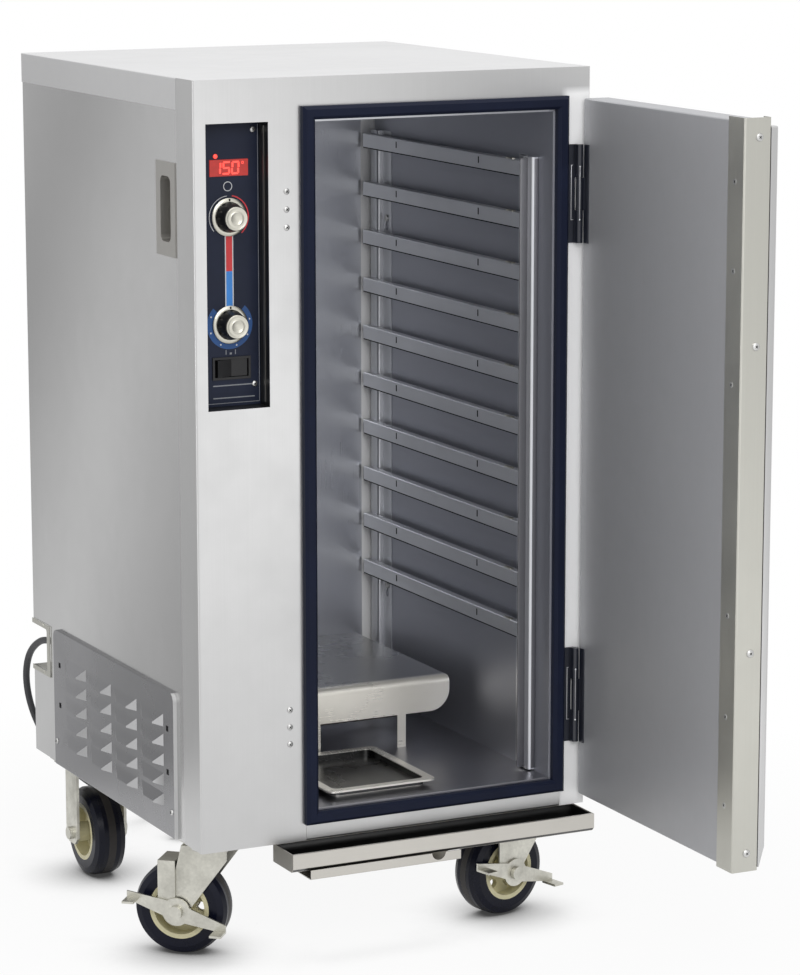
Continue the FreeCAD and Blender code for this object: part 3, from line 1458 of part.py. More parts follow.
def make_wheel(name, at, turn=None):
    """A spoked core in a tyre with round shoulders, on an axle along the body's Y axis."""
    half = dim.tread_width / 2
    rim = dim.hub_radius - dim.hub_rim
    bore = dim.axle_radius + dim.running_gap
    boss_end = half + dim.fork_gap - dim.wheel_gap
    if turn is None:
        boss_end = half + dim.rigid_gap - dim.wheel_gap
    web = dim.hub_web / 2
    core = [
        (bore, -boss_end),
        (dim.hub_boss, -boss_end),
        (dim.hub_boss, -web),
        (rim, -web),
        (rim, -half),
        (dim.hub_radius, -half),
        (dim.hub_radius, half),
        (rim, half),
        (rim, web),
        (dim.hub_boss, web),
        (dim.hub_boss, boss_end),
        (bore, boss_end),
    ]
    facing = QUARTER_TURN if turn is None else turn
    hub = lathe(f"{name}_core", "y", core, at, facing)
    doc.recompute()
    turned = hub.getObject(f"{name}_core_turned")
    spot = sketch_on(hub, "XZ", f"{name}_window")
    draw_circle(spot, dim.hub_window_circle, dim.hub_window)
    pierced = hub.newObject("PartDesign::Pocket", f"{name}_pierced")
    pierced.Profile = spot
    pierced.Midplane = True
    bind(pierced, "Length", dim.hub_web * 2)
    doc.recompute()
    around = hub.newObject("PartDesign::PolarPattern", f"{name}_windows")
    around.Originals = [pierced]
    around.Axis = (spot, ["N_Axis"])
    around.Angle = 360
    around.Occurrences = HUB_WINDOWS
    hub.Tip = around
    doc.recompute()
    if not hub.Shape.Volume < turned.Shape.Volume:
        raise RuntimeError(f"{name}: the windows cut nothing")
    keep(hub, f"{name}_hub")

    shoulder = dim.tread_round
    inset = shoulder * ROUND_SHARE
    tyre_profile = [
        (dim.hub_radius, -half),
        (dim.wheel_radius - shoulder, -half),
        (dim.wheel_radius - inset, inset - half),
        (dim.wheel_radius, -half + shoulder),
        (dim.wheel_radius, half - shoulder),
        (dim.wheel_radius - inset, half - inset),
        (dim.wheel_radius - shoulder, half),
        (dim.hub_radius, half),
    ]
    keep(lathe(f"{name}_tread", "y", tyre_profile, at, facing), f"{name}_tyre")


def disc(radius, low, high):
    return [(ZERO, low), (radius, low), (radius, high), (ZERO, high)]


def make_axle(name, at, turn, reach_low, reach_high):
    """A bolt through the fork with a round head and nut outside its legs."""
    head = dim.axle_head_depth
    bolt = [
        (ZERO, reach_low - head),
        (dim.axle_head, reach_low - head),
        (dim.axle_head, reach_low),
        (dim.axle_radius, reach_low),
        (dim.axle_radius, reach_high),
        (dim.axle_head, reach_high),
        (dim.axle_head, reach_high + head),
        (ZERO, reach_high + head),
    ]
    return lathe(name, "y", bolt, at, turn)


def make_swivel_caster(name, side, turn):
    """A braked swivel caster, drawn trailing along its own X axis about the kingpin."""
    kingpin = (side * (dim.body_width / 2 - dim.caster_inset), front + dim.caster_front)
    at = (kingpin[0], kingpin[1], ZERO)
    plate_low = mount_plane - dim.plate_thickness
    race_low = plate_low - dim.race_depth
    crown_high = race_low - dim.race_gap
    crown_low = crown_high - dim.crown_plate
    inner = dim.tread_width / 2 + dim.fork_gap
    outer = inner + dim.fork_plate
    trail = dim.caster_trail
    axle_z = dim.wheel_radius
    toe = dim.fork_toe

    flat = box(
        f"{name}_flat",
        (kingpin[0] - dim.plate_width / 2, kingpin[0] + dim.plate_width / 2),
        (kingpin[1] - dim.plate_length / 2, kingpin[1] + dim.plate_length / 2),
        (plate_low, mount_plane),
    )
    race = lathe(f"{name}_race", "z", disc(dim.race_radius, race_low, plate_low), at)
    nut_low = crown_low - dim.race_gap - dim.kingpin_nut_depth
    pin = lathe(f"{name}_kingpin", "z", disc(dim.kingpin_radius, nut_low, race_low), at)
    nut = lathe(f"{name}_kingpin_nut", "z", disc(dim.kingpin_nut, nut_low, crown_low - dim.race_gap), at)
    plate = join(f"{name}_plate", flat, race, pin, nut)

    leg = [
        (-dim.fork_nose, crown_high),
        (dim.fork_tail, crown_high),
        (trail + toe, axle_z),
        (trail - toe, axle_z),
        (-dim.fork_nose, crown_low - dim.fork_cheek),
    ]
    bridge = rectangle((-dim.fork_nose, dim.fork_tail), (-outer, outer))
    crown = lathe(f"{name}_crown", "z", disc(dim.fork_crown, crown_low, crown_high), at)
    wheel_at = wheel_centre(kingpin, turn)
    yoke = join(
        f"{name}_yoke",
        prism(f"{name}_leg_near", "XZ", leg, (inner, outer), at, turn),
        prism(f"{name}_leg_far", "XZ", leg, (-outer, -inner), at, turn),
        lathe(f"{name}_toe_near", "y", disc(toe, inner, outer), wheel_at, turn),
        lathe(f"{name}_toe_far", "y", disc(toe, -outer, -inner), wheel_at, turn),
        prism(f"{name}_bridge", "XY", bridge, (crown_low, crown_high), at, turn),
        crown,
    )
    bore = disc(dim.kingpin_radius + dim.running_gap, nut_low, plate_low)
    pass_hole = disc(dim.axle_radius, -outer * 2, outer * 2)
    fork = cut(
        f"{name}_fork_cut",
        yoke,
        lathe(f"{name}_fork_bore", "z", bore, at),
        lathe(f"{name}_axle_hole", "y", pass_hole, wheel_at, turn),
    )

    strap_low = outer + dim.lever_gap
    strap_high = strap_low + dim.strap_plate
    lever_low = strap_high + dim.lever_gap
    lever_high = lever_low + dim.lever_plate
    middle = trail + dim.strap_offset
    span = (middle - dim.strap_width / 2, middle + dim.strap_width / 2)
    shoe_low = axle_z + dim.wheel_radius + dim.shoe_clearance
    shoe_high = shoe_low + dim.strap_plate
    strap_foot = axle_z + dim.axle_radius * 2
    upright = rectangle(span, (strap_foot, shoe_high))
    shoe = rectangle(span, (strap_high - dim.shoe_length, strap_high))
    strap = join(
        f"{name}_strap",
        prism(f"{name}_strap_plate", "XZ", upright, (outer, strap_high), at, turn),
        prism(f"{name}_shoe", "XY", shoe, (shoe_low, shoe_high), at, turn),
    )
    axle = make_axle(f"{name}_axle", wheel_at, turn, -outer, lever_high + dim.lever_gap)
    keep(group(f"{name}_fork_set", fork, axle, strap), f"{name}_fork")
    make_brake(name, wheel_at, turn, (lever_low, lever_high))
    make_wheel(name, wheel_at, turn)
    return plate


def wheel_centre(kingpin, turn):
    """The wheel's middle, one trail behind the kingpin in the caster's direction."""
    angle = math.radians(turn.value)
    along = Size(math.cos(angle), f"cos({turn.text} * 1deg)")
    across = Size(math.sin(angle), f"sin({turn.text} * 1deg)")
    return (
        kingpin[0] + dim.caster_trail * along,
        kingpin[1] + dim.caster_trail * across,
        dim.wheel_radius,
    )


def make_brake(name, wheel_at, turn, span):
    """A two-way foot lever on the axle, with a bent pedal at each end."""
    slope = math.radians(dim.lever_slope.value)
    rise = Size(math.tan(slope), f"tan({dim.lever_slope.text} * 1deg)")
    arm = dim.lever_arm
    neck = dim.lever_neck
    end = dim.lever_tip
    tip = arm * rise
    bar = [
        (-arm, -tip - end),
        (-arm, end - tip),
        (ZERO, neck),
        (arm, tip + end),
        (arm, tip - end),
        (ZERO, -neck),
    ]
    boss = disc(dim.lever_boss, span[0], span[1])
    pieces = [
        prism(f"{name}_bar", "XZ", bar, span, wheel_at, turn),
        lathe(f"{name}_boss", "y", boss, wheel_at, turn),
    ]
    for suffix, way in (("heel", -1), ("toe", 1)):
        reach = (way * (arm - dim.pedal_length), way * arm)
        across = (span[0], span[0] + dim.pedal_width)
        level = tip * way
        up = (level - end, level - end + dim.lever_plate)
        pieces.append(prism(f"{name}_{suffix}", "XY", rectangle(reach, across), up, wheel_at, turn))
    lever = join(f"{name}_lever", *pieces)
    hole = disc(dim.axle_radius + dim.running_gap, span[0] - neck, span[1] + neck)
    bore = lathe(f"{name}_lever_bore", "y", hole, wheel_at, turn)
    keep(cut(f"{name}_lever_cut", lever, bore), f"{name}_brake")


def make_rigid_casters():
    """Rear casters: a plate with two straight legs, and the axle bolt through them."""
    sets = []
    axles = []
    inner = dim.tread_width / 2 + dim.rigid_gap
    outer = inner + dim.fork_plate
    half = dim.rigid_leg / 2
    for name, side in (("rear_left", -1), ("rear_right", 1)):
        x = side * (dim.body_width / 2 - dim.caster_inset)
        y = back - dim.caster_rear
        at = (x, y, dim.wheel_radius)
        low = dim.wheel_radius - dim.fork_toe
        toe = dim.rigid_corner
        plate_low = mount_plane - dim.plate_thickness
        leg = [
            (y - half, plate_low),
            (y - half, low + toe),
            (y - half + toe, low),
            (y + half - toe, low),
            (y + half, low + toe),
            (y + half, plate_low),
        ]
        flat = box(
            f"{name}_flat",
            (x - dim.plate_width / 2, x + dim.plate_width / 2),
            (y - dim.plate_length / 2, y + dim.plate_length / 2),
            (plate_low, mount_plane),
        )
        legs = [
            prism(f"{name}_leg_{number}", "YZ", leg, (x + way * inner, x + way * outer))
            for number, way in enumerate((-1, 1))
        ]
        body = join(f"{name}_bracket", flat, *legs)
        across = (x - outer * 2, x + outer * 2)
        hole = rod(f"{name}_axle_hole", "x", across, (y, dim.wheel_radius), dim.axle_radius)
        sets.append(cut(f"{name}_fork_cut", body, hole))
        axles.append(make_axle(f"{name}_axle", at, -QUARTER_TURN, -outer, outer))
        make_wheel(name, at)
    keep(group("rigid_forks", *sets, *axles), "rear_caster_forks")


# Screws


def make_screws():
    """Heads of the column, vent panel and control panel screws."""
    heads = []
    x = left + dim.plug_left
    for start in (base + dim.plug_low, top - dim.plug_drop):
        for number in range(3):
            z = start + dim.plug_step * number
            ends = (front - dim.screw_head, front)
            heads.append(rod(f"plug_{len(heads)}", "y", ends, (x, z), dim.screw_radius))
    low = base + dim.vent_screw_low
    for y in (vent_y + dim.vent_screw_inset, vent_end - dim.vent_screw_inset):
        ends = (vent_face - dim.screw_head, vent_face)
        heads.append(rod(f"vent_screw_{len(heads)}", "x", ends, (y, low), dim.screw_radius))
    for rise in (dim.panel_screw_low, dim.recess_height - dim.panel_screw_drop):
        for x in (recess_x + dim.panel_screw_inset, recess_x + dim.recess_width - dim.panel_screw_inset):
            ends = (panel_face - dim.screw_head, panel_face)
            heads.append(rod(f"panel_screw_{len(heads)}", "y", ends, (x, recess_z + rise), dim.screw_radius))
    keep(group("screw_heads", *heads), "cabinet_screws")


# Power cord: out of the pocket, down behind the cabinet and along the floor to a coil with the plug


def cord_start():
    return Vector(
        (left + dim.cord_left).value,
        (notch_y + dim.relief_length).value,
        (base + dim.cord_rise).value,
    )


def coil_middle():
    return Vector(
        (left + dim.coil_centre_x).value,
        (back + dim.coil_centre_y).value,
        dim.cord_diameter.value / 2,
    )


def coil_entry():
    """Where the free stretch meets the coil, one diameter before its first turn."""
    return coil_middle() + Vector(-dim.cord_diameter.value, dim.coil_radius.value, 0)


# Points of the free stretch after its start, from the cabinet's left side, its back and the floor
CORD_ROUTE = (
    (20, 0, 325),
    (20, 38, 312),
    (20.5, 74, 288),
    (22, 93, 253),
    (26, 93, 216),
    (36, 88, 180),
    (53, 84, 147),
    (76, 83, 116),
    (104, 85, 88),
    (138, 91, 63),
    (176, 100, 41),
    (216, 113, 22),
    (254, 129, 9),
    (296, 138.5, 5),
)


def bent_path(points, tightest):
    """Straight runs joined by arcs as large as the runs allow; prints the radii."""
    edges = []
    radii = []
    here = points[0]
    for before, corner, after in zip(points, points[1:], points[2:]):
        into = (corner - before).normalize()
        out = (after - corner).normalize()
        turn = into.getAngle(out)
        trim = 0.45 * min((corner - before).Length, (after - corner).Length)
        radius = trim / math.tan(turn / 2)
        start = corner - into * trim
        end = corner + out * trim
        bisector = (out - into).normalize()
        middle = corner + bisector * (radius / math.cos(turn / 2) - radius)
        edges.append(Part.LineSegment(here, start).toShape())
        edges.append(Part.Arc(start, middle, end).toShape())
        radii.append(radius)
        here = end
    edges.append(Part.LineSegment(here, points[-1]).toShape())
    print("cord radii", [round(radius) for radius in radii])
    if min(radii) < tightest:
        raise RuntimeError("the cord bends too tightly")
    return Part.Wire(edges)


def tube_along(path, start, way, radius):
    ring = Part.Wire([Part.Circle(start, way, radius).toShape()])
    tube = path.makePipeShell([ring], True, False)
    share = tube.Volume / (math.pi * radius ** 2 * path.Length)
    print("cord length", round(path.Length), "tube to section times length", round(share, 4))
    return tube


def coil_point(turn_angle):
    """Radius and height of the coil's centreline at an angle from its start, and their slopes."""
    rate = dim.coil_pitch.value / (2 * math.pi)
    full = 2 * math.pi * COIL_TURNS
    low_end = full + math.pi / 2
    if turn_angle <= low_end:
        radius = dim.coil_radius.value - rate * turn_angle
        slope = -rate
    else:
        radius = dim.coil_radius.value - rate * low_end + rate * (turn_angle - low_end)
        slope = rate
    climb = min(max((turn_angle - full) / math.pi, 0.0), 1.0)
    height = dim.coil_pitch.value * climb * climb * (3 - 2 * climb)
    rise = dim.coil_pitch.value * 6 * climb * (1 - climb) / math.pi
    if abs(turn_angle - low_end) < 1e-9:
        slope = 0.0
    return radius, height, slope, rise


def coil_place(turn_angle):
    """Position and direction on the coil; it starts at its rear, winding clockwise from above."""
    radius, height, slope, rise = coil_point(turn_angle)
    angle = math.pi / 2 - turn_angle
    spoke = Vector(math.cos(angle), math.sin(angle), 0)
    along = Vector(math.sin(angle), -math.cos(angle), 0)
    spot = coil_middle() + spoke * radius + Vector(0, 0, height)
    if turn_angle == 0:
        return spot, along
    return spot, (along * radius + spoke * slope + Vector(0, 0, rise)).normalize()


def biarc(start, start_way, end, end_way):
    """Two arcs that join two places and keep both directions."""
    gap = end - start
    total = start_way + end_way
    a = total.dot(total) - 4
    b = -2 * gap.dot(total)
    c = gap.dot(gap)
    reach = c / -b if abs(a) < 1e-9 else (-b - math.sqrt(b * b - 4 * a * c)) / (2 * a)
    if reach < 0:
        reach = (-b + math.sqrt(b * b - 4 * a * c)) / (2 * a)
    first = start + start_way * reach
    second = end - end_way * reach
    joint = (first + second) * 0.5
    return [arc_between(start, start_way, joint), arc_between(end, -end_way, joint)]


def arc_between(start, way, end):
    """The arc from a place in a direction to another place."""
    chord = end - start
    normal = chord - way * chord.dot(way)
    normal.normalize()
    radius = chord.dot(chord) / (2 * chord.dot(normal))
    centre = start + normal * radius
    middle = centre + ((start - centre) + (end - centre)).normalize() * radius
    return Part.Arc(start, middle, end).toShape()


def make_coil():
    """Two layers of turns in one unbroken tube: in along the floor, up, and out on top."""
    diameter = dim.cord_diameter.value
    quarters = COIL_TURNS * 8 + 2
    stops = [coil_place(number * math.pi / 2) for number in range(quarters + 1)]
    edges = [Part.LineSegment(coil_entry(), stops[0][0]).toShape()]
    for (start, start_way), (end, end_way) in zip(stops, stops[1:]):
        edges.extend(biarc(start, start_way, end, end_way))
    last, last_way = stops[-1]
    edges.append(Part.LineSegment(last, last + last_way * dim.coil_tail.value).toShape())
    path = Part.Wire(Part.__sortEdges__(edges))
    tube = tube_along(path, coil_entry(), Vector(1, 0, 0), diameter / 2)
    points = path.discretize(Distance=2.5)
    near = math.ceil(diameter * 2.5 / 2.5)
    least = min(
        (points[i] - points[j]).Length
        for i in range(len(points))
        for j in range(i + near, len(points))
    )
    print("coil's least gap to itself", round(least - diameter, 2))
    coil = doc.addObject("Part::Feature", "coil_tube")
    coil.Shape = tube
    keep(coil, "cord_coil")
    return last + last_way * dim.coil_tail.value, last_way


def make_cord():
    start = cord_start()
    radius = dim.cord_diameter.value / 2
    corner = Vector(left.value, back.value, 0)
    points = [start] + [corner + Vector(*point) for point in CORD_ROUTE] + [coil_entry()]
    path = bent_path(points, dim.cord_diameter.value * 5)
    cord = doc.addObject("Part::Feature", "cord_tube")
    cord.Shape = tube_along(path, start, points[1] - start, radius)
    keep(cord, "power_cord")

    at = (left + dim.cord_left, notch_y, base + dim.cord_rise)
    tapered = [
        (ZERO, -dim.skin - dim.relief_nut_depth),
        (dim.relief_nut, -dim.skin - dim.relief_nut_depth),
        (dim.relief_nut, -dim.skin),
        (dim.relief_radius, -dim.skin),
        (dim.relief_radius, ZERO),
        (dim.relief_nut, ZERO),
        (dim.relief_nut, dim.relief_nut_depth),
        (dim.relief_radius, dim.relief_nut_depth),
        (dim.cord_diameter / 2 + dim.skin, dim.relief_length),
        (ZERO, dim.relief_length),
    ]
    keep(lathe("relief", "y", tapered, at), "strain_relief")

    make_plug(*make_coil())


def make_plug(spot, way):
    """A moulded plug: tapered neck, round body, two blades and an earth pin."""
    body = [
        (ZERO, ZERO),
        (dim.plug_neck_radius, ZERO),
        (dim.plug_shoulder_radius, dim.plug_neck),
        (dim.plug_radius, dim.plug_neck + dim.plug_shoulder),
        (dim.plug_radius, dim.plug_neck + dim.plug_length),
        (ZERO, dim.plug_neck + dim.plug_length),
    ]
    tip = dim.plug_neck + dim.plug_length
    blade_span = (tip - dim.skin, tip + dim.blade_length)
    pieces = [lathe("plug_body", "x", body)]
    for number, side in enumerate((-1, 1)):
        middle = side * (dim.blade_spread / 2)
        across = (middle - dim.blade_plate / 2, middle + dim.blade_plate / 2)
        up = (-dim.blade_width / 2, dim.blade_width / 2)
        pieces.append(box(f"plug_blade_{number}", blade_span, across, up))
    earth = rod("plug_earth", "x", blade_span, (ZERO, -dim.earth_drop), dim.earth_radius)
    whole = join("plug", *pieces, earth)
    turned = math.degrees(math.atan2(way.y, way.x))
    shell = group("plug_set", whole)
    shell.Placement = FreeCAD.Placement(spot, FreeCAD.Rotation(Vector(0, 0, 1), turned))
    keep(shell, "power_plug")


def make_all():
    make_shell()
    make_cord_pocket()
    make_vent_panel()
    keep(group("grip_pair", grip("left_grip", -1), grip("right_grip", 1)), "side_grips")
    make_liner()
    make_insulation()
    make_seal()
    make_baffle()
    make_element()
    make_water_pan()
    make_studs()
    make_rack("left_rack", -1)
    make_rack("right_rack", 1)
    make_controls()
    make_knob("upper_knob", upper_knob_rise)
    make_knob("lower_knob", dim.lower_knob_rise)
    make_switch()
    make_door()
    make_hinges()
    make_trough()
    plates = [
        make_swivel_caster("front_left", -1, dim.left_turn),
        make_swivel_caster("front_right", 1, dim.right_turn),
    ]
    keep(group("plate_pair", *plates), "swivel_plates")
    make_rigid_casters()
    make_screws()
    make_cord()


def check_document():
    for thing in doc.Objects:
        if "Invalid" in thing.State or "Error" in thing.State:
            raise RuntimeError(f"{thing.Name} failed: {thing.State}")
    for node in nodes:
        if node.Shape.isNull() or not node.Shape.isValid() or not node.Shape.Solids:
            raise RuntimeError(f"{node.Label} has no valid solid")


def write_parts():
    os.makedirs("parts", exist_ok=True)
    for node in nodes:
        node.Shape.exportStep(f"parts/{node.Label}.step")


make_all()
doc.recompute()
check_document()
write_parts()
print(len(nodes), "sub-parts")
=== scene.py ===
"""Looks of a heated holding cabinet on casters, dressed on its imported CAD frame."""

import itertools
import math

import bmesh
import bpy
from mathutils import Matrix, Vector


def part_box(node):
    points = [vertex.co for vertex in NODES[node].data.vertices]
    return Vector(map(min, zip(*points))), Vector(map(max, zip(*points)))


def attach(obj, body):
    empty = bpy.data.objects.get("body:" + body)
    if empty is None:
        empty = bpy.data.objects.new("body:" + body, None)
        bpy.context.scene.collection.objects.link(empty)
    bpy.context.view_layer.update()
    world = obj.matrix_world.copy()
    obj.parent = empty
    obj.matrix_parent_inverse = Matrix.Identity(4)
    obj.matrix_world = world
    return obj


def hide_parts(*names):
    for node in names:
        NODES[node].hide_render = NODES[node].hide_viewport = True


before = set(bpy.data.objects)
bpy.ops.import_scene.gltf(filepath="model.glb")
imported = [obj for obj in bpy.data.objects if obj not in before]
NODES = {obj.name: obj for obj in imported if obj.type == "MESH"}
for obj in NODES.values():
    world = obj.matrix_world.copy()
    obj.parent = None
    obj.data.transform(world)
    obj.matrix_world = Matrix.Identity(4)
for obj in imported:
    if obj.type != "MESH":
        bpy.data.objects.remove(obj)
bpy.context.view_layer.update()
MM = 0.001

# The cabinet's lower left front corner, from which places are given in millimetres
CORNER = Vector(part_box("front_panel")[0])


def at(x, y, z):
    """A place in millimetres right of, behind and above the cabinet's lower left front corner."""
    return CORNER + Vector((x, y, z)) * MM


# Node building


def plug_in(tree, socket, value):
    if isinstance(value, bpy.types.NodeSocket):
        tree.links.new(value, socket)
    else:
        socket.default_value = value


def add_node(tree, kind, settings=None, **inputs):
    """A node with its settings, and values or links for its inputs by name (spaces as _) or place (i0)."""
    made = tree.nodes.new(kind)
    for key, value in (settings or {}).items():
        setattr(made, key, value)
    for key, value in inputs.items():
        place = int(key[1:]) if key[0] == "i" and key[1:].isdigit() else key.replace("_", " ")
        plug_in(tree, made.inputs[place], value)
    return made


def math_node(tree, operation, first, second=0.0):
    return add_node(tree, "ShaderNodeMath", {"operation": operation}, i0=first, i1=second).outputs[0]


def ramp(tree, factor, low, high):
    """A value stretched so that low becomes 0 and high becomes 1."""
    made = add_node(tree, "ShaderNodeMapRange", None, Value=factor, From_Min=low, From_Max=high)
    return made.outputs["Result"]


def blend_colour(tree, factor, first, second):
    made = add_node(tree, "ShaderNodeMix", {"data_type": "RGBA"}, i0=factor, i6=first, i7=second)
    return made.outputs[2]


def blend_value(tree, factor, first, second):
    made = add_node(tree, "ShaderNodeMix", {"data_type": "FLOAT"}, i0=factor, i2=first, i3=second)
    return made.outputs[0]


def start_group(name, inputs, outputs):
    """An empty shader group with named value inputs and outputs."""
    group = bpy.data.node_groups.new(name, "ShaderNodeTree")
    for label, kind, default in inputs:
        socket = group.interface.new_socket(label, in_out="INPUT", socket_type=kind)
        socket.default_value = default
    for label, kind in outputs:
        group.interface.new_socket(label, in_out="OUTPUT", socket_type=kind)
    return group, group.nodes.new("NodeGroupInput").outputs, group.nodes.new("NodeGroupOutput").inputs


def object_place(tree):
    return add_node(tree, "ShaderNodeTexCoord").outputs["Object"]


def noise(tree, place, scale, detail, roughness=0.5):
    made = add_node(tree, "ShaderNodeTexNoise", None, Vector=place, Scale=scale, Detail=detail)
    made.inputs["Roughness"].default_value = roughness
    return made.outputs["Fac"]


def grain_group():
    """Fine brushing lines along one axis, as a mask about a half."""
    group, given, result = start_group(
        "Brushed grain",
        [("Stretch", "NodeSocketVector", (40, 40, 1500)), ("Contrast", "NodeSocketFloat", 1.0)],
        [("Mask", "NodeSocketFloat")],
    )
    place = object_place(group)
    scaled = add_node(group, "ShaderNodeVectorMath", {"operation": "MULTIPLY"}, i0=place, i1=given["Stretch"])
    lines = noise(group, scaled.outputs[0], 1.0, detail=3.0, roughness=0.6)
    centred = math_node(group, "SUBTRACT", lines, 0.5)
    spread = math_node(group, "MULTIPLY", centred, given["Contrast"])
    group.links.new(math_node(group, "ADD", spread, 0.5), result["Mask"])
    return group


# Fine marks: how much smaller than the wide ones, their share, and the span over which marks fade
FINE_SCALE, FINE_SHARE, MARK_SPAN = 9.0, 0.25, 0.35


def marks_group():
    """Soft, uneven patches left by handling and cleaning, from 0 to 1."""
    group, given, result = start_group(
        "Handling marks",
        [("Size", "NodeSocketFloat", 6.0), ("Level", "NodeSocketFloat", 0.5)],
        [("Mask", "NodeSocketFloat")],
    )
    place = object_place(group)
    wide = noise(group, place, given["Size"], detail=4.0, roughness=0.55)
    fine_size = math_node(group, "MULTIPLY", given["Size"], FINE_SCALE)
    fine = math_node(group, "MULTIPLY", noise(group, place, fine_size, detail=2.0), FINE_SHARE)
    mixed = math_node(group, "ADD", wide, fine)
    high = math_node(group, "ADD", given["Level"], MARK_SPAN)
    group.links.new(ramp(group, mixed, given["Level"], high), result["Mask"])
    return group


CLOUD_SCALE = 0.02


def pebble_group():
    """The fine pebbled skin of moulded plastic and rubber, as a height, and broad clouds of its colour."""
    group, given, result = start_group(
        "Moulded skin",
        [("Size", "NodeSocketFloat", 900.0)],
        [("Height", "NodeSocketFloat"), ("Mask", "NodeSocketFloat")],
    )
    place = object_place(group)
    cells = add_node(
        group, "ShaderNodeTexVoronoi", {"feature": "SMOOTH_F1"}, Vector=place, Scale=given["Size"]
    )
    group.links.new(cells.outputs["Distance"], result["Height"])
    broad = math_node(group, "MULTIPLY", given["Size"], CLOUD_SCALE)
    group.links.new(noise(group, place, broad, detail=3.0), result["Mask"])
    return group


GRAIN = grain_group()
MARKS = marks_group()
PEBBLE = pebble_group()


def use_group(tree, group, **inputs):
    return add_node(tree, "ShaderNodeGroup", {"node_tree": group}, **inputs).outputs


def start_material(name):
    material = bpy.data.materials.new(name)
    material.use_nodes = True
    tree = material.node_tree
    return material, tree, tree.nodes["Principled BSDF"]


def tint(colour, factor):
    return (*(min(1.0, part * factor) for part in colour), 1.0)


# Finishes


# Brushing: its stretch along each axis, tints and roughness of its lines, tint of wiped patches
GRAIN_STRETCH = {"x": (3, 900, 900), "y": (900, 3, 900), "z": (900, 900, 3)}
GRAIN_DARK, GRAIN_PALE, WIPED_TINT = 0.9, 1.08, 0.93
GRAIN_SMOOTH, GRAIN_ROUGH = 0.05, 0.07
GRAIN_DEPTH, MARK_LEVEL = 0.0004, 0.5


def sheet_steel(
    name, colour, roughness, along="z", size=4.0, contrast=0.5, bump=0.03, wear=0.09, metal=1.0
):
    """Brushed sheet: fine lines along an axis, and wiped patches."""
    material, tree, shader = start_material(name)
    grain = use_group(tree, GRAIN, Stretch=GRAIN_STRETCH[along], Contrast=contrast)["Mask"]
    marks = use_group(tree, MARKS, Size=size, Level=MARK_LEVEL)["Mask"]
    shade = blend_colour(tree, grain, tint(colour, GRAIN_DARK), tint(colour, GRAIN_PALE))
    shade = blend_colour(tree, marks, shade, tint(colour, WIPED_TINT))
    plug_in(tree, shader.inputs["Base Color"], shade)
    gloss = blend_value(tree, grain, roughness - GRAIN_SMOOTH, roughness + GRAIN_ROUGH)
    plug_in(tree, shader.inputs["Roughness"], blend_value(tree, marks, gloss, roughness + wear))
    shader.inputs["Metallic"].default_value = metal
    relief = add_node(tree, "ShaderNodeBump", None, Strength=bump, Distance=GRAIN_DEPTH, Height=grain)
    plug_in(tree, shader.inputs["Normal"], relief.outputs[0])
    return material


def within(material, low, high, soft):
    """1 inside a box of the cabinet, falling to 0 at its sides over a soft edge."""
    tree = material.node_tree
    axes = add_node(tree, "ShaderNodeSeparateXYZ", None, Vector=object_place(tree)).outputs
    mask = 1.0
    for axis, start, end in zip("XYZ", low, high):
        mask = math_node(tree, "MULTIPLY", ramp(tree, axes[axis], start, start + soft), mask)
        mask = math_node(tree, "MULTIPLY", ramp(tree, axes[axis], end, end - soft), mask)
    return mask


SIDE_TURN, FRONT_TURN = -0.2, -0.45


def turned_to_front(material):
    """1 on faces turned to the cabinet's front, 0 on those along its side."""
    tree = material.node_tree
    normal = add_node(tree, "ShaderNodeNewGeometry").outputs["True Normal"]
    axes = add_node(tree, "ShaderNodeSeparateXYZ", None, Vector=normal).outputs
    return ramp(tree, axes["Y"], SIDE_TURN, FRONT_TURN)


def patch(material, mask, **changes):
    """Gives a finish other values where a mask is 1."""
    tree = material.node_tree
    shader = tree.nodes["Principled BSDF"]
    for key, value in changes.items():
        socket = shader.inputs[key.replace("_", " ")]
        plain = socket.links[0].from_socket if socket.is_linked else socket.default_value
        blend = blend_colour if socket.type == "RGBA" else blend_value
        plug_in(tree, socket, blend(tree, mask, plain, value))


# Zinc: scale of its crystals and marks, tints of the crystals and of marked places, and how dull those are
SPANGLE_SCALE, ZINC_MARKS = 260.0, 30.0
SPANGLE_DARK, SPANGLE_PALE, ZINC_MARKED, ZINC_DULL = 0.92, 1.05, 0.75, 0.2


def plated_steel(name, colour, roughness):
    """Zinc plate: slightly mottled crystals over a bright metal."""
    material, tree, shader = start_material(name)
    spangle = add_node(tree, "ShaderNodeTexVoronoi", None, Vector=object_place(tree), Scale=SPANGLE_SCALE)
    marks = use_group(tree, MARKS, Size=ZINC_MARKS, Level=MARK_LEVEL)["Mask"]
    crystals = spangle.outputs["Color"]
    shade = blend_colour(tree, crystals, tint(colour, SPANGLE_DARK), tint(colour, SPANGLE_PALE))
    shade = blend_colour(tree, marks, shade, tint(colour, ZINC_MARKED))
    plug_in(tree, shader.inputs["Base Color"], shade)
    plug_in(tree, shader.inputs["Roughness"], blend_value(tree, marks, roughness, roughness + ZINC_DULL))
    shader.inputs["Metallic"].default_value = 1.0
    return material


# Mouldings: tints of their clouds and rubbed places, and how dull those are
CLOUD_DARK, CLOUD_PALE, RUBBED_TINT, RUBBED_DULL = 0.85, 1.2, 1.35, 0.12
RUB_SIZE, RUB_LEVEL, PEBBLE_DEPTH = 14.0, 0.55, 0.0003


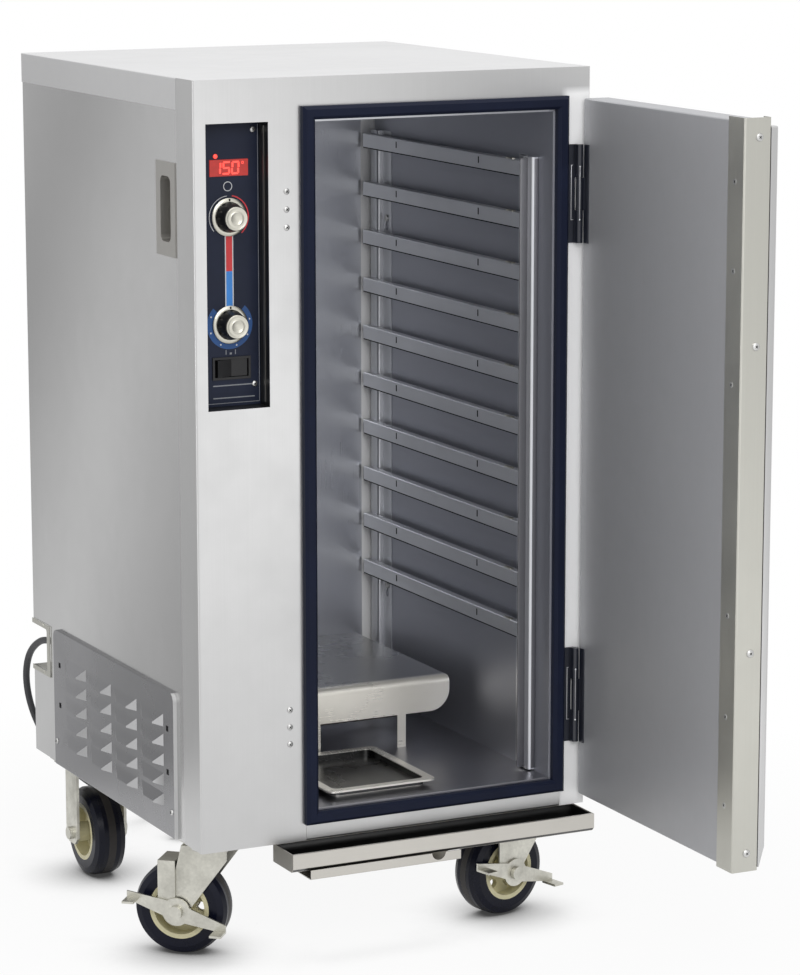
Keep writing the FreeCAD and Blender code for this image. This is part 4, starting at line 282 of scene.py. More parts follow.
def moulded(name, colour, roughness, size=900.0, bump=0.05, coat=0.0, gloss=0.5):
    """Moulded plastic or rubber with a pebbled skin and faint rubbed patches."""
    material, tree, shader = start_material(name)
    skin = use_group(tree, PEBBLE, Size=size)
    marks = use_group(tree, MARKS, Size=RUB_SIZE, Level=RUB_LEVEL)["Mask"]
    shade = blend_colour(tree, skin["Mask"], tint(colour, CLOUD_DARK), tint(colour, CLOUD_PALE))
    shade = blend_colour(tree, marks, shade, tint(colour, RUBBED_TINT))
    plug_in(tree, shader.inputs["Base Color"], shade)
    plug_in(tree, shader.inputs["Roughness"], blend_value(tree, marks, roughness, roughness + RUBBED_DULL))
    shader.inputs["Coat Weight"].default_value = coat
    shader.inputs["Specular IOR Level"].default_value = gloss
    relief = add_node(
        tree, "ShaderNodeBump", None, Strength=bump, Distance=PEBBLE_DEPTH, Height=skin["Height"]
    )
    plug_in(tree, shader.inputs["Normal"], relief.outputs[0])
    return material


GLOW_SCALE, GLOW_DARK, GLOW_PALE, LENS_ROUGHNESS = 120.0, 0.85, 1.15, 0.25


def glowing(name, colour, strength):
    """A lit lens, its glow slightly clouded."""
    material, tree, shader = start_material(name)
    cloud = noise(tree, object_place(tree), GLOW_SCALE, detail=1.0)
    shade = blend_colour(tree, cloud, tint(colour, GLOW_DARK), tint(colour, GLOW_PALE))
    plug_in(tree, shader.inputs["Base Color"], shade)
    plug_in(tree, shader.inputs["Emission Color"], shade)
    shader.inputs["Emission Strength"].default_value = strength
    shader.inputs["Roughness"].default_value = LENS_ROUGHNESS
    return material


STEEL = sheet_steel("Cabinet steel", (0.58, 0.58, 0.58), 0.28)
FRONT_STEEL = sheet_steel("Front steel", (0.58, 0.58, 0.58), 0.28)
SIDE_STEEL = sheet_steel("Side steel", (0.58, 0.58, 0.58), 0.2, wear=0.02)
TOP_STEEL = sheet_steel("Top steel", (0.68, 0.68, 0.685), 0.32, along="x")
DOOR_STEEL = sheet_steel("Door steel", (0.43, 0.434, 0.452), 0.42, metal=0.5)
VENT_STEEL = sheet_steel("Vent steel", (0.28, 0.28, 0.29), 0.24, along="y", contrast=0.15, bump=0.005)
GRIP_STEEL = sheet_steel("Grip steel", (0.40, 0.39, 0.37), 0.3, contrast=0.15, metal=0.75)
LINER_STEEL = sheet_steel("Liner steel", (0.57, 0.58, 0.61), 0.27, size=5.0, contrast=0.6, wear=0.03)
FLOOR_STEEL = sheet_steel("Liner floor steel", (0.40, 0.40, 0.43), 0.3, along="x", wear=0.04)
RACK_STEEL = sheet_steel("Rack steel", (0.62, 0.63, 0.66), 0.3, along="y", metal=0.75)
# Painted shade: dark steel for plates that stand in for the shade at the racks' front ends and uprights.
SHADE_PLATE_STEEL = sheet_steel("Painted shade plate steel", (0.17, 0.17, 0.18), 0.4)
# Painted highlight: the pan's rim and outside are painted pale; its inside is painted dark in place_finishes.
PAN_STEEL = sheet_steel("Pan steel", (0.80, 0.78, 0.73), 0.26, "y", contrast=0.12, wear=0.04, metal=0.7)
# Painted highlight: the baffle is painted pale cream and half matt; its top is painted dark in
# place_finishes.
BAFFLE_STEEL = sheet_steel(
    "Baffle steel", (0.92, 0.89, 0.81), 0.26, "x", contrast=0.12, wear=0.03, metal=0.55
)
EDGE_METAL = sheet_steel("Edge metal", (0.54, 0.535, 0.49), 0.34)
TROUGH_METAL = sheet_steel("Trough metal", (0.58, 0.56, 0.52), 0.34, along="x")
BASE_METAL = sheet_steel("Base metal", (0.30, 0.29, 0.27), 0.45, along="x")
ELEMENT_METAL = sheet_steel("Element metal", (0.30, 0.25, 0.22), 0.4, along="x")
SATIN_METAL = sheet_steel("Satin metal", (0.56, 0.545, 0.48), 0.3, along="x")
CLIP_METAL = plated_steel("Clip metal", (0.85, 0.85, 0.87), 0.3)
ZINC = plated_steel("Caster zinc", (0.62, 0.61, 0.55), 0.34)
SCREW_ZINC = plated_steel("Screw zinc", (0.62, 0.62, 0.61), 0.3)
HINGE_BLACK = moulded("Hinge black", (0.008, 0.010, 0.018), 0.35, size=700.0, coat=0.3)
SEAL_RUBBER = moulded("Seal rubber", (0.006, 0.009, 0.024), 0.5, size=500.0, gloss=0.14)
PANEL_BLACK = moulded("Panel black", (0.011, 0.015, 0.032), 0.4, size=1500.0, bump=0.02, gloss=0.2)
RECESS_BLACK = moulded("Recess black", (0.008, 0.008, 0.008), 0.3, size=1500.0, bump=0.02)
LENS_RED = glowing("Display lens", (0.30, 0.012, 0.008), 0.7)
DIGIT_RED = glowing("Lit digits", (1.0, 0.07, 0.05), 1.0)
SWITCH_BLACK = moulded("Switch black", (0.006, 0.006, 0.007), 0.3, gloss=0.4)
KNOB_BLACK = moulded("Knob black", (0.008, 0.008, 0.009), 0.4, gloss=0.4)
PRINT_WHITE = moulded("White print", (0.55, 0.56, 0.58), 0.5, bump=0.01)
PRINT_GREY = moulded("Grey print", (0.20, 0.21, 0.23), 0.5, bump=0.01)
PRINT_RED = moulded("Red print", (0.58, 0.03, 0.035), 0.5, bump=0.01)
PRINT_BLUE = moulded("Blue print", (0.03, 0.21, 0.60), 0.5, bump=0.01)
PRINT_NAVY = moulded("Navy print", (0.010, 0.060, 0.20), 0.5, bump=0.01)
HUB_CREAM = moulded("Hub cream", (0.60, 0.56, 0.36), 0.42, size=400.0)
TYRE_NAVY = moulded("Tyre navy", (0.003, 0.004, 0.012), 0.26, size=300.0, bump=0.04, gloss=0.2)
TREAD_GREY = moulded("Worn tread", (0.030, 0.027, 0.026), 0.5, size=300.0, bump=0.04, gloss=0.3)
CORD_GREY = moulded("Cord grey", (0.035, 0.036, 0.04), 0.5, size=600.0)
# Painted shade: black for dark patches in slots and under the rack slides, and for the knobs' pointer marks.
SHADOW_BLACK = moulded("Painted shade and pointer black", (0.004, 0.004, 0.005), 0.7, bump=0.01, gloss=0.1)
WOOL = moulded("Mineral wool", (0.50, 0.42, 0.22), 0.9, size=250.0, bump=0.5)

HARD_EDGE, SOFT_EDGE = 1e-5, 0.01
FAR = Vector((2.0, 2.0, 2.0))
# Where the front sheet's stile is painted light, the liner's right wall painted shade and its back corner
# painted light, in millimetres, and a reach well past their edges
PAST = -100
STILE_LEFT, STILE_RIGHT, STILE_BACK, STILE_TOP = 524, 700, 100, 975
WALL_RIGHT, CORNER_LEFT, CORNER_FRONT = 506, 492, 532
BAFFLE_BEND = Vector((0, 12, 0)) * MM
PLATE = Vector((0.6, 0.6, 0.6)) * MM
TROUGH_RIM = Vector((0.6, 0.6, 2.0)) * MM
PAN_WALL, PAN_RIM = Vector((3, 3, 0.6)) * MM, Vector((3, 3, 1.2)) * MM


def even_grey(level):
    return (level, level, level, 1.0)


def place_finishes():
    """Where a finish changes over its piece: a stile painted pale as painted light, louvre ends painted pale
    as a painted highlight, a dull right wall painted darker as painted shade, a back corner painted pale as
    painted light, and a baffle top and the insides of pan and trough painted dark as painted shade.
    """
    stile_end = at(STILE_RIGHT, STILE_BACK, STILE_TOP)
    # Painted light: the stile beside the door is painted near white and matt, lighter than the rest of the
    # front.
    stile = within(FRONT_STEEL, at(STILE_LEFT, PAST, PAST), stile_end, SOFT_EDGE)
    patch(FRONT_STEEL, stile, Base_Color=even_grey(0.96), Metallic=0.12, Roughness=0.45)
    # Painted highlight: faces turned to the front, the louvres' front ends, are painted pale and matt.
    ends = turned_to_front(VENT_STEEL)
    patch(VENT_STEEL, ends, Base_Color=even_grey(0.62), Metallic=0.3, Roughness=0.45)
    # Painted shade: the liner's right wall is painted darker and bluer, and made duller.
    wall = within(LINER_STEEL, at(WALL_RIGHT, PAST, PAST), FAR, HARD_EDGE)
    patch(LINER_STEEL, wall, Base_Color=(0.46, 0.47, 0.52, 1.0), Roughness=0.5)
    # Painted light: the back wall's strip by the right wall, which lies in the rack's shade, is painted pale
    # and matt.
    corner = within(LINER_STEEL, at(CORNER_LEFT, CORNER_FRONT, PAST), FAR, HARD_EDGE)
    patch(LINER_STEEL, corner, Base_Color=even_grey(0.85), Metallic=0.1, Roughness=0.6)
    # Painted shade: the baffle's top is painted dark grey against its pale apron.
    low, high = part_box("heat_baffle")
    top = within(BAFFLE_STEEL, low + BAFFLE_BEND - PLATE, high + FAR, SOFT_EDGE)
    patch(BAFFLE_STEEL, top, Base_Color=even_grey(0.36), Metallic=1.0)
    # Painted shade: the pan's inside is painted near black.
    low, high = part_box("water_pan")
    painted_shade_inside = within(PAN_STEEL, low + PAN_WALL, high - PAN_RIM, HARD_EDGE)
    patch(PAN_STEEL, painted_shade_inside, Base_Color=even_grey(0.09), Metallic=1.0)
    # Painted shade: the trough's inside is painted near black.
    low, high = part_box("drip_trough")
    painted_shade_inside = within(TROUGH_METAL, low + PLATE, high - TROUGH_RIM, HARD_EDGE)
    patch(TROUGH_METAL, painted_shade_inside, Base_Color=even_grey(0.06))


FINISHES = {
    "front_panel": FRONT_STEEL,
    "bottom_rail": STEEL,
    "top_cover": TOP_STEEL,
    "left_side_panel": SIDE_STEEL,
    "right_side_panel": SIDE_STEEL,
    "back_panel": SIDE_STEEL,
    "door_inner_pan": DOOR_STEEL,
    "door_skin": STEEL,
    "door_pull": STEEL,
    "vent_panel": VENT_STEEL,
    "side_grips": GRIP_STEEL,
    "cord_pocket": EDGE_METAL,
    "control_recess": RECESS_BLACK,
    "liner_sides": LINER_STEEL,
    "liner_back": LINER_STEEL,
    "liner_ceiling": LINER_STEEL,
    "liner_floor": FLOOR_STEEL,
    "heat_baffle": BAFFLE_STEEL,
    "water_pan": PAN_STEEL,
    "left_rack": RACK_STEEL,
    "right_rack": RACK_STEEL,
    "rack_studs": SCREW_ZINC,
    "door_edge_channel": EDGE_METAL,
    "drip_trough": TROUGH_METAL,
    "trough_bracket": TROUGH_METAL,
    "base_pan": BASE_METAL,
    "insulation": WOOL,
    "door_core": WOOL,
    "door_seal": SEAL_RUBBER,
    "control_panel": PANEL_BLACK,
    "display_lenses": LENS_RED,
    "switch_housing": SWITCH_BLACK,
    "thermostats": SWITCH_BLACK,
    "upper_knob": KNOB_BLACK,
    "lower_knob": KNOB_BLACK,
    "rocker": SWITCH_BLACK,
    "cabinet_screws": SCREW_ZINC,
    "door_screws": SCREW_ZINC,
    "hinge_frame_leaves": HINGE_BLACK,
    "hinge_door_leaves": HINGE_BLACK,
    "heating_element": ELEMENT_METAL,
    "swivel_plates": ZINC,
    "rear_caster_forks": ZINC,
    "power_plug": CORD_GREY,
    "strain_relief": CORD_GREY,
    "power_cord": CORD_GREY,
    "cord_coil": CORD_GREY,
}
for corner_name in ("front_left", "front_right", "rear_left", "rear_right"):
    FINISHES[f"{corner_name}_hub"] = HUB_CREAM
    FINISHES[f"{corner_name}_tyre"] = TYRE_NAVY
for corner_name in ("front_left", "front_right"):
    FINISHES[f"{corner_name}_fork"] = ZINC
    FINISHES[f"{corner_name}_brake"] = ZINC


def finish_nodes():
    for name, material in FINISHES.items():
        mesh = NODES[name].data
        mesh.materials.clear()
        mesh.materials.append(material)


# Detail pieces


WELD, NODE_WELD = 1e-6, 5e-6
SMOOTH_ANGLE = math.radians(38)
FLAT_ANGLE = math.radians(0.5)
FOLD_ANGLE = math.radians(50)
FOLD_SEGMENTS, BLOCK_SEGMENTS = 3, 2
FORWARD, LEFT, DOWN = (0, -1, 0), (-1, 0, 0), (0, 0, -1)


def add_piece(name, form, material, body, nodes=(), crease=SMOOTH_ANGLE):
    """A finished piece from a bmesh, riding on a body, in place of CAD nodes if any are named."""
    bmesh.ops.remove_doubles(form, verts=form.verts, dist=WELD)
    bmesh.ops.recalc_face_normals(form, faces=form.faces)
    mesh = bpy.data.meshes.new(name)
    form.to_mesh(mesh)
    form.free()
    mesh.polygons.foreach_set("use_smooth", [True] * len(mesh.polygons))
    mesh.set_sharp_from_angle(angle=crease)
    mesh.materials.append(material)
    piece = bpy.data.objects.new(name, mesh)
    bpy.context.collection.objects.link(piece)
    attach(piece, body)
    if nodes:
        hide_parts(*nodes)
    return piece


def round_off(form, parts, width, segments, affect="EDGES"):
    """Rounds edges or corners by a width in millimetres."""
    bmesh.ops.bevel(
        form,
        geom=parts,
        offset=width * MM,
        offset_type="OFFSET",
        segments=segments,
        profile=0.5,
        affect=affect,
        clamp_overlap=True,
        material=-1,
    )


def folded(node, width, upright, least):
    """A sheet-metal node whose convex folds between larger faces are rounded, upright ones apart."""
    source = NODES[node]
    form = bmesh.new()
    form.from_mesh(source.data)
    form.transform(source.matrix_world)
    bmesh.ops.remove_doubles(form, verts=form.verts, dist=NODE_WELD)
    bmesh.ops.dissolve_limit(form, angle_limit=FLAT_ANGLE, verts=form.verts, edges=form.edges)
    level_folds, upright_folds = [], []
    for edge in form.edges:
        if len(edge.link_faces) == 2 and min(face.calc_area() for face in edge.link_faces) > least:
            if edge.calc_face_angle_signed(0.0) > FOLD_ANGLE:
                way = edge.verts[1].co - edge.verts[0].co
                rises = upright != width and abs(way.z) > way.length / 2
                (upright_folds if rises else level_folds).append(edge)
    round_off(form, level_folds, width, FOLD_SEGMENTS)
    round_off(form, upright_folds, upright, FOLD_SEGMENTS)
    return form


def turned(form, centre, axis, profile, steps=28):
    """A turned solid: profile points (radius, along) in millimetres, from the axis out and back to it."""
    axis = Vector(axis).normalized()
    side = axis.orthogonal().normalized()
    points = [form.verts.new(centre + (side * radius + axis * along) * MM) for radius, along in profile]
    lines = [form.edges.new(pair) for pair in zip(points, points[1:])]
    full = 2 * math.pi
    bmesh.ops.spin(form, geom=points + lines, cent=centre, axis=axis, angle=full, steps=steps, use_merge=True)


def block(form, low, high, soften=0.0):
    """A box between two corners, with softened edges."""
    middle = (low + high) / 2
    size = high - low
    matrix = Matrix.Translation(middle) @ Matrix.Diagonal((abs(size.x), abs(size.y), abs(size.z), 1.0))
    made = bmesh.ops.create_cube(form, size=1.0, matrix=matrix)["verts"]
    if soften:
        edges = list({edge for vert in made for edge in vert.link_edges})
        round_off(form, edges, soften, BLOCK_SEGMENTS)


PANEL_FACE, PRINT_DEPTH = 29, 0.12
ARC_STEP = 5


def print_bar(form, x, z, proud=PRINT_DEPTH, face=PANEL_FACE):
    """A printed bar on the control panel, between two places across and two up."""
    block(form, at(x[0], face - proud, z[0]), at(x[1], face + PRINT_DEPTH / 2, z[1]))


def print_arc(form, spot, radii, turn, face=PANEL_FACE):
    """A printed band round a point of the control panel, from one angle to another."""
    start = math.radians(turn[0])
    inner, outer = radii
    points = []
    for reach, out in ((inner, 0.5), (inner, -1), (outer, -1), (outer, 0.5)):
        depth = face + out * PRINT_DEPTH
        place = at(spot[0] + reach * math.cos(start), depth, spot[1] + reach * math.sin(start))
        points.append(form.verts.new(place))
    end = form.faces.new(points)
    geom = points + list(end.edges)
    sweep = turn[1] - turn[0]
    whole = sweep >= 360
    if whole:
        bmesh.ops.delete(form, geom=[end], context="FACES_ONLY")
    else:
        geom.append(end)
    bmesh.ops.spin(
        form,
        geom=geom,
        cent=at(spot[0], face, spot[1]),
        axis=FORWARD,
        angle=math.radians(sweep),
        steps=round(sweep / ARC_STEP),
        use_merge=whole,
    )


# Segments of a lit digit as ends (across, up) in halves of its width and height
SEGMENTS = {
    "a": ((0, 2), (1, 2)),
    "b": ((1, 1), (1, 2)),
    "c": ((1, 0), (1, 1)),
    "d": ((0, 0), (1, 0)),
    "e": ((0, 0), (0, 1)),
    "f": ((0, 1), (0, 2)),
    "g": ((0, 1), (1, 1)),
}
DIGITS = {"1": "bc", "5": "afgcd", "0": "abcdef"}
DIGIT_WIDTH, DIGIT_HEIGHT, DIGIT_STROKE, DIGIT_LEAN = 8.5, 14.5, 2.3, 0.09
# Upright strokes are narrowed and leave a gap at their ends, level ones reach past their ends by a share
STROKE_TRIM, STROKE_GAP, STROKE_LAP = 0.2, 0.5, 0.2


def lit_digit(form, sign, x, z, face):
    half = DIGIT_STROKE / 2
    for name in DIGITS[sign]:
        ends = []
        for across, up in SEGMENTS[name]:
            rise = up * DIGIT_HEIGHT / 2
            ends.append((x + across * DIGIT_WIDTH + rise * DIGIT_LEAN, z + rise))
        (x0, z0), (x1, z1) = sorted(ends)
        if abs(x1 - x0) < DIGIT_WIDTH / 2:
            width = (x0 - half + STROKE_TRIM, x1 + half - STROKE_TRIM)
            height = (min(z0, z1) + STROKE_GAP, max(z0, z1) - STROKE_GAP)
        else:
            width = (x0 - half * STROKE_LAP, x1 + half * STROKE_LAP)
            height = (z0 - half, z0 + half)
        print_bar(form, width, height, face=face)


KNOB_X, UPPER_KNOB_Z, LOWER_KNOB_Z = 60, 824, 686.5
UPPER_DIAL, LOWER_DIAL = (KNOB_X, UPPER_KNOB_Z), (KNOB_X, LOWER_KNOB_Z)
DISPLAY_FACE = PANEL_FACE - 0.8
WHOLE_TURN = (0, 360)
# Printed bands: radii, and the angles that they run between
SIGN_SPOT, SIGN_RADII = (59, 863), (5.2, 6.2)
WHITE_RADII, WHITE_TURN = (26.6, 27.4), (95, 220)
RED_RADII, RED_TURN = (26.4, 28.0), (-50, 80)
NAVY_RADII, NAVY_TURN = (23.0, 31.6), (136, 408)
# Dots of the lower dial
DOT_REACH, DOT_ANGLES = 28.2, (157, 200, 243, 289, 330, 12)
DOT, DOT_STEPS = ((0, 0), (1.1, 0), (1.1, 0.3), (0, 0.3)), 12
# The stripe between the knobs: its white ground, then its colours on top
STRIPE_GROUND, STRIPE, STRIPE_PROUD = (54.2, 65.8), (55.7, 64.3), PRINT_DEPTH * 2
STRIPE_LOW, STRIPE_MIDDLE, STRIPE_HIGH = 700, 755, 806
# Grey rules and signs, and a pale line painted along the panel's right and bottom edges as a painted
# highlight: places across and up
GREY_BARS = (
    ((36, 94), (607.5, 609)),
    ((36, 94), (591.5, 593)),
    # Painted highlight: a pale line along the panel's right and bottom edges.
    ((100.4, 101.2), (585, 941)),
    ((24, 100.2), (585, 585.8)),
    ((54, 55), (648, 654)),
    ((67, 68), (648, 654)),
    ((59.5, 62.5), (648, 650.5)),
)
READING, READING_FOOT = (("1", 39.5), ("5", 52), ("0", 64.5)), 879.2
DEGREE_SPOT, DEGREE_RADII = (79.5, 892.5), (0.9, 1.8)
LAMP_X, LAMP_Z, LAMP_STEPS = 42, 901.5, 20
ROUND_HEAD = ((0, 0), (3, 0), (2.6, 0.8), (1.4, 1.3), (0, 1.5))


def make_panel_prints():
    """Printed scales and rules, a pale line painted as a highlight along the panel's edges, and the lit
    digits of the control panel.
    """
    white = bmesh.new()
    print_arc(white, SIGN_SPOT, SIGN_RADII, WHOLE_TURN)
    print_arc(white, UPPER_DIAL, WHITE_RADII, WHITE_TURN)
    print_bar(white, STRIPE_GROUND, (STRIPE_LOW, STRIPE_HIGH))
    for degrees in DOT_ANGLES:
        angle = math.radians(degrees)
        x = KNOB_X + DOT_REACH * math.cos(angle)
        z = LOWER_KNOB_Z + DOT_REACH * math.sin(angle)
        turned(white, at(x, PANEL_FACE, z), FORWARD, DOT, DOT_STEPS)
    add_piece("panel_white_print", white, PRINT_WHITE, "cabinet")
    grey = bmesh.new()
    for across, up in GREY_BARS:
        print_bar(grey, across, up)
    add_piece("panel_grey_print", grey, PRINT_GREY, "cabinet")
    red = bmesh.new()
    print_arc(red, UPPER_DIAL, RED_RADII, RED_TURN)
    print_bar(red, STRIPE, (STRIPE_MIDDLE, STRIPE_HIGH), STRIPE_PROUD)
    add_piece("panel_red_print", red, PRINT_RED, "cabinet")
    blue = bmesh.new()
    print_bar(blue, STRIPE, (STRIPE_LOW, STRIPE_MIDDLE), STRIPE_PROUD)
    add_piece("panel_blue_print", blue, PRINT_BLUE, "cabinet")
    navy = bmesh.new()
    print_arc(navy, LOWER_DIAL, NAVY_RADII, NAVY_TURN)
    add_piece("panel_dial_band", navy, PRINT_NAVY, "cabinet")
    lit = bmesh.new()
    for sign, x in READING:
        lit_digit(lit, sign, x, READING_FOOT, DISPLAY_FACE)
    print_arc(lit, DEGREE_SPOT, DEGREE_RADII, WHOLE_TURN, DISPLAY_FACE)
    turned(lit, at(LAMP_X, DISPLAY_FACE, LAMP_Z), FORWARD, ROUND_HEAD, LAMP_STEPS)
    add_piece("display_digits", lit, DIGIT_RED, "cabinet")


KNOB_BACK = PANEL_FACE - 0.5
KNOB_FRONT, SKIRT_FRONT = KNOB_BACK - 24, KNOB_BACK - 1.25
SKIRT = ((19.4, 0), (24.2, -0.6), (24.4, 0.4), (23.6, 1.1), (20.0, 2.2), (19.4, 2.0), (19.4, 0))
CAP_EDGE = ((0, -0.5), (15.0, -0.5), (15.3, 0.3), (14.7, 1.0), (13.2, 1.0))
CAP_FACE = ((12.8, 0.8), (8.4, 0.8), (8.2, 0.95), (7.8, 0.95), (7.6, 0.8), (0, 0.8))
TRIM_STEPS = 64
# The pointer: half its width, its front and back before the skirt, its ends from the knob's middle
POINTER_HALF, POINTER_FRONT, POINTER_BACK, POINTER_LOW, POINTER_HIGH = 0.9, 2.5, 0.5, 20.3, 23.4
POINTER_SOFT = 0.2


def make_knob_trims():
    """Satin dial skirts and caps on the knobs, with a pointer on each skirt."""
    for name, body, z in (("upper", "upper_dial", UPPER_KNOB_Z), ("lower", "lower_dial", LOWER_KNOB_Z)):
        metal = bmesh.new()
        turned(metal, at(KNOB_X, SKIRT_FRONT, z), FORWARD, SKIRT, TRIM_STEPS)
        turned(metal, at(KNOB_X, KNOB_FRONT, z), FORWARD, CAP_EDGE + CAP_FACE, TRIM_STEPS)
        add_piece(f"{name}_knob_trim", metal, SATIN_METAL, body)
        mark = bmesh.new()
        low = at(KNOB_X - POINTER_HALF, SKIRT_FRONT - POINTER_FRONT, z + POINTER_LOW)
        high = at(KNOB_X + POINTER_HALF, SKIRT_FRONT - POINTER_BACK, z + POINTER_HIGH)
        block(mark, low, high, POINTER_SOFT)
        add_piece(f"{name}_knob_mark", mark, SHADOW_BLACK, body)


# Screw heads: domed, wide and flush, each as (radius, height)
DOME = ((0, 0), (4.0, 0), (4.0, 0.5), (3.5, 1.2), (2.4, 1.75), (0, 2.0))
WIDE_DOME = ((0, 0), (5.2, 0), (5.2, 0.6), (4.6, 1.5), (3.4, 2.1), (0, 2.2))
FLUSH = ((0, -0.1), (4.0, -0.1), (4.0, 0.1), (3.6, 0.2), (0, 0.25))
HEAD_STEPS = 24
SLOT_LENGTH, SLOT_WIDTH, SLOT_DEPTH, SLOT_SINK = 4.2, 0.9, 0.5, 0.2


def cross(form, spot, axis, high):
    """Two slots across a screw head, drawn as dark bars of painted shade."""
    axis = Vector(axis).normalized()
    side = axis.orthogonal().normalized()
    other = axis.cross(side)
    size = Matrix.Diagonal((SLOT_LENGTH * MM, SLOT_WIDTH * MM, SLOT_DEPTH * MM, 1.0))
    place = Matrix.Translation(spot + axis * high * MM)
    for first, second in ((side, other), (other, side)):
        turn = Matrix((first, second, axis)).transposed().to_4x4()
        bmesh.ops.create_cube(form, size=1.0, matrix=place @ turn @ size)


def screw_set(name, spots, body, node):
    heads = bmesh.new()
    slots = bmesh.new()
    for spot, axis, profile in spots:
        turned(heads, spot, axis, profile, HEAD_STEPS)
        cross(slots, spot, axis, profile[-1][1] - SLOT_SINK)
    add_piece(f"{name}_heads", heads, SCREW_ZINC, body, (node,))
    add_piece(f"{name}_slots", slots, SHADOW_BLACK, body)


DOOR_PIN = (549, -7)
DOOR_ANGLE = math.radians(89.3)
DOOR_LEG_FACE, DOOR_FREE = -5, -407


def on_door(x, y, z):
    """A place given on the closed door from its hinge pin, carried to the open door."""
    turn_x = x * math.cos(DOOR_ANGLE) - y * math.sin(DOOR_ANGLE)
    turn_y = x * math.sin(DOOR_ANGLE) + y * math.cos(DOOR_ANGLE)
    return at(DOOR_PIN[0] + turn_x, DOOR_PIN[1] + turn_y, z)


def door_way(x, y):
    return on_door(x, y, 0) - on_door(0, 0, 0)


PLUG_X, PLUG_LOWS, PLUG_PITCH, PLUGS = 127.5, (133, 810), 23, 3
VENT_SCREWS = ((-4, 88, 35), (-4, 506, 35))
PANEL_SCREWS = ((25, 608), (94, 608), (25, 934), (94, 934))
LEG_SCREWS, LEG_INSET = (96, 211, 341, 633, 774, 884), 22
EDGE_SCREWS, EDGE_INSET = (36, 295, 682, 939), 21


def make_screws():
    """The cabinet's and the door's screw heads."""
    spots = []
    for low in PLUG_LOWS:
        spots += [(at(PLUG_X, 0, low + PLUG_PITCH * number), FORWARD, DOME) for number in range(PLUGS)]
    spots += [(at(*place), LEFT, DOME) for place in VENT_SCREWS]
    spots += [(at(x, PANEL_FACE, z), FORWARD, DOME) for x, z in PANEL_SCREWS]
    screw_set("cabinet_screw", spots, "cabinet", "cabinet_screws")
    spots = []
    for z in LEG_SCREWS:
        spots.append((on_door(DOOR_FREE + LEG_INSET, DOOR_LEG_FACE, z), door_way(0, 1), FLUSH))
    for z in EDGE_SCREWS:
        spots.append((on_door(DOOR_FREE, DOOR_LEG_FACE - EDGE_INSET, z), door_way(-1, 0), WIDE_DOME))
    screw_set("door_screw", spots, "door", "door_screws")


# Each folded node, the width of its folds level and upright, the least face beside one, its body and slot
FOLDS = (
    ("front_panel", 2.4, 2.4, 0.004, "cabinet", "steel_skin"),
    ("top_cover", 2.4, 2.4, 0.004, "cabinet", "steel_skin"),
    ("bottom_rail", 2.0, 2.0, 0.003, "cabinet", "steel_skin"),
    ("vent_panel", 1.2, 1.2, 0.0015, "cabinet", "steel_vent"),
    ("cord_pocket", 1.5, 1.5, 0.001, "cabinet", "edge_metal"),
    ("trough_bracket", 1.5, 1.5, 0.001, "cabinet", "edge_metal"),
    ("drip_trough", 1.5, 1.5, 0.003, "trough", "edge_metal"),
    ("door_inner_pan", 2.0, 2.0, 0.004, "door", "steel_door"),
    ("door_skin", 2.4, 2.4, 0.004, "door", "steel_skin"),
    ("door_edge_channel", 2.0, 2.0, 0.004, "door", "edge_metal"),
    ("left_rack", 1.2, 3.6, 0.003, "rack_left", "steel_rack"),
    ("right_rack", 1.2, 3.6, 0.003, "rack_right", "steel_rack"),
)
PRESSED_ANGLE = math.radians(9)
FLAT_WEIGHT = 100


def make_folds():
    """Sheet-metal nodes with rounded folds; the louvres keep their crisp pressed edges."""
    for node, width, upright, least, body, slot in FOLDS:
        crease = PRESSED_ANGLE if node == "vent_panel" else SMOOTH_ANGLE
        form = folded(node, width, upright, least)
        piece = add_piece(f"{node}_folds", form, FINISHES[node], body, (node,), crease)
        level = piece.modifiers.new("flat_faces", "WEIGHTED_NORMAL")
        level.weight = FLAT_WEIGHT
        level.keep_sharp = True


VENT_SLOTS = ((101, 146), (101, 87), (491, 148), (491, 90))
VENT_SLOT_X, VENT_SLOT_HALF, VENT_SLOT_RISE, VENT_SLOT_SOFT = (-4.25, -3.9), 3.4, 3.6, 0.1


def make_vent_slots():
    """Four slots near the vent panel's ends, drawn as dark patches of painted shade."""
    form = bmesh.new()
    outer, inner = VENT_SLOT_X
    for y, z in VENT_SLOTS:
        low = at(outer, y - VENT_SLOT_HALF, z - VENT_SLOT_RISE)
        block(form, low, at(inner, y + VENT_SLOT_HALF, z + VENT_SLOT_RISE), VENT_SLOT_SOFT)
    add_piece("vent_slots", form, SHADOW_BLACK, "cabinet")


HINGE_LOWS = (90, 769)
CLIP_LOW, CLIP_HIGH = 30, 103
# The clip's wire, its bent ends and its pin: places across, in depth and up from its ends
WIRE_X, WIRE_Y, WIRE_SOFT = (538.7, 539.7), (-2.7, -1.7), 0.3
BEND_Y, BEND_SOFT = (-2.6, -1.8), 0.25
LOWER_BEND_X, UPPER_BEND_X = (539.0, 543), (539.0, 541.5)
BEND_START, BEND_END = 0.1, 0.9
PIN_X, PIN_Y = (546.5, 547.5), (-12.2, -11.1)
PIN_RISE, PIN_DROP = 1, 2
BALL_X, BALL_Y, BALL_RADIUS = 547.03, -11.8, 1.3


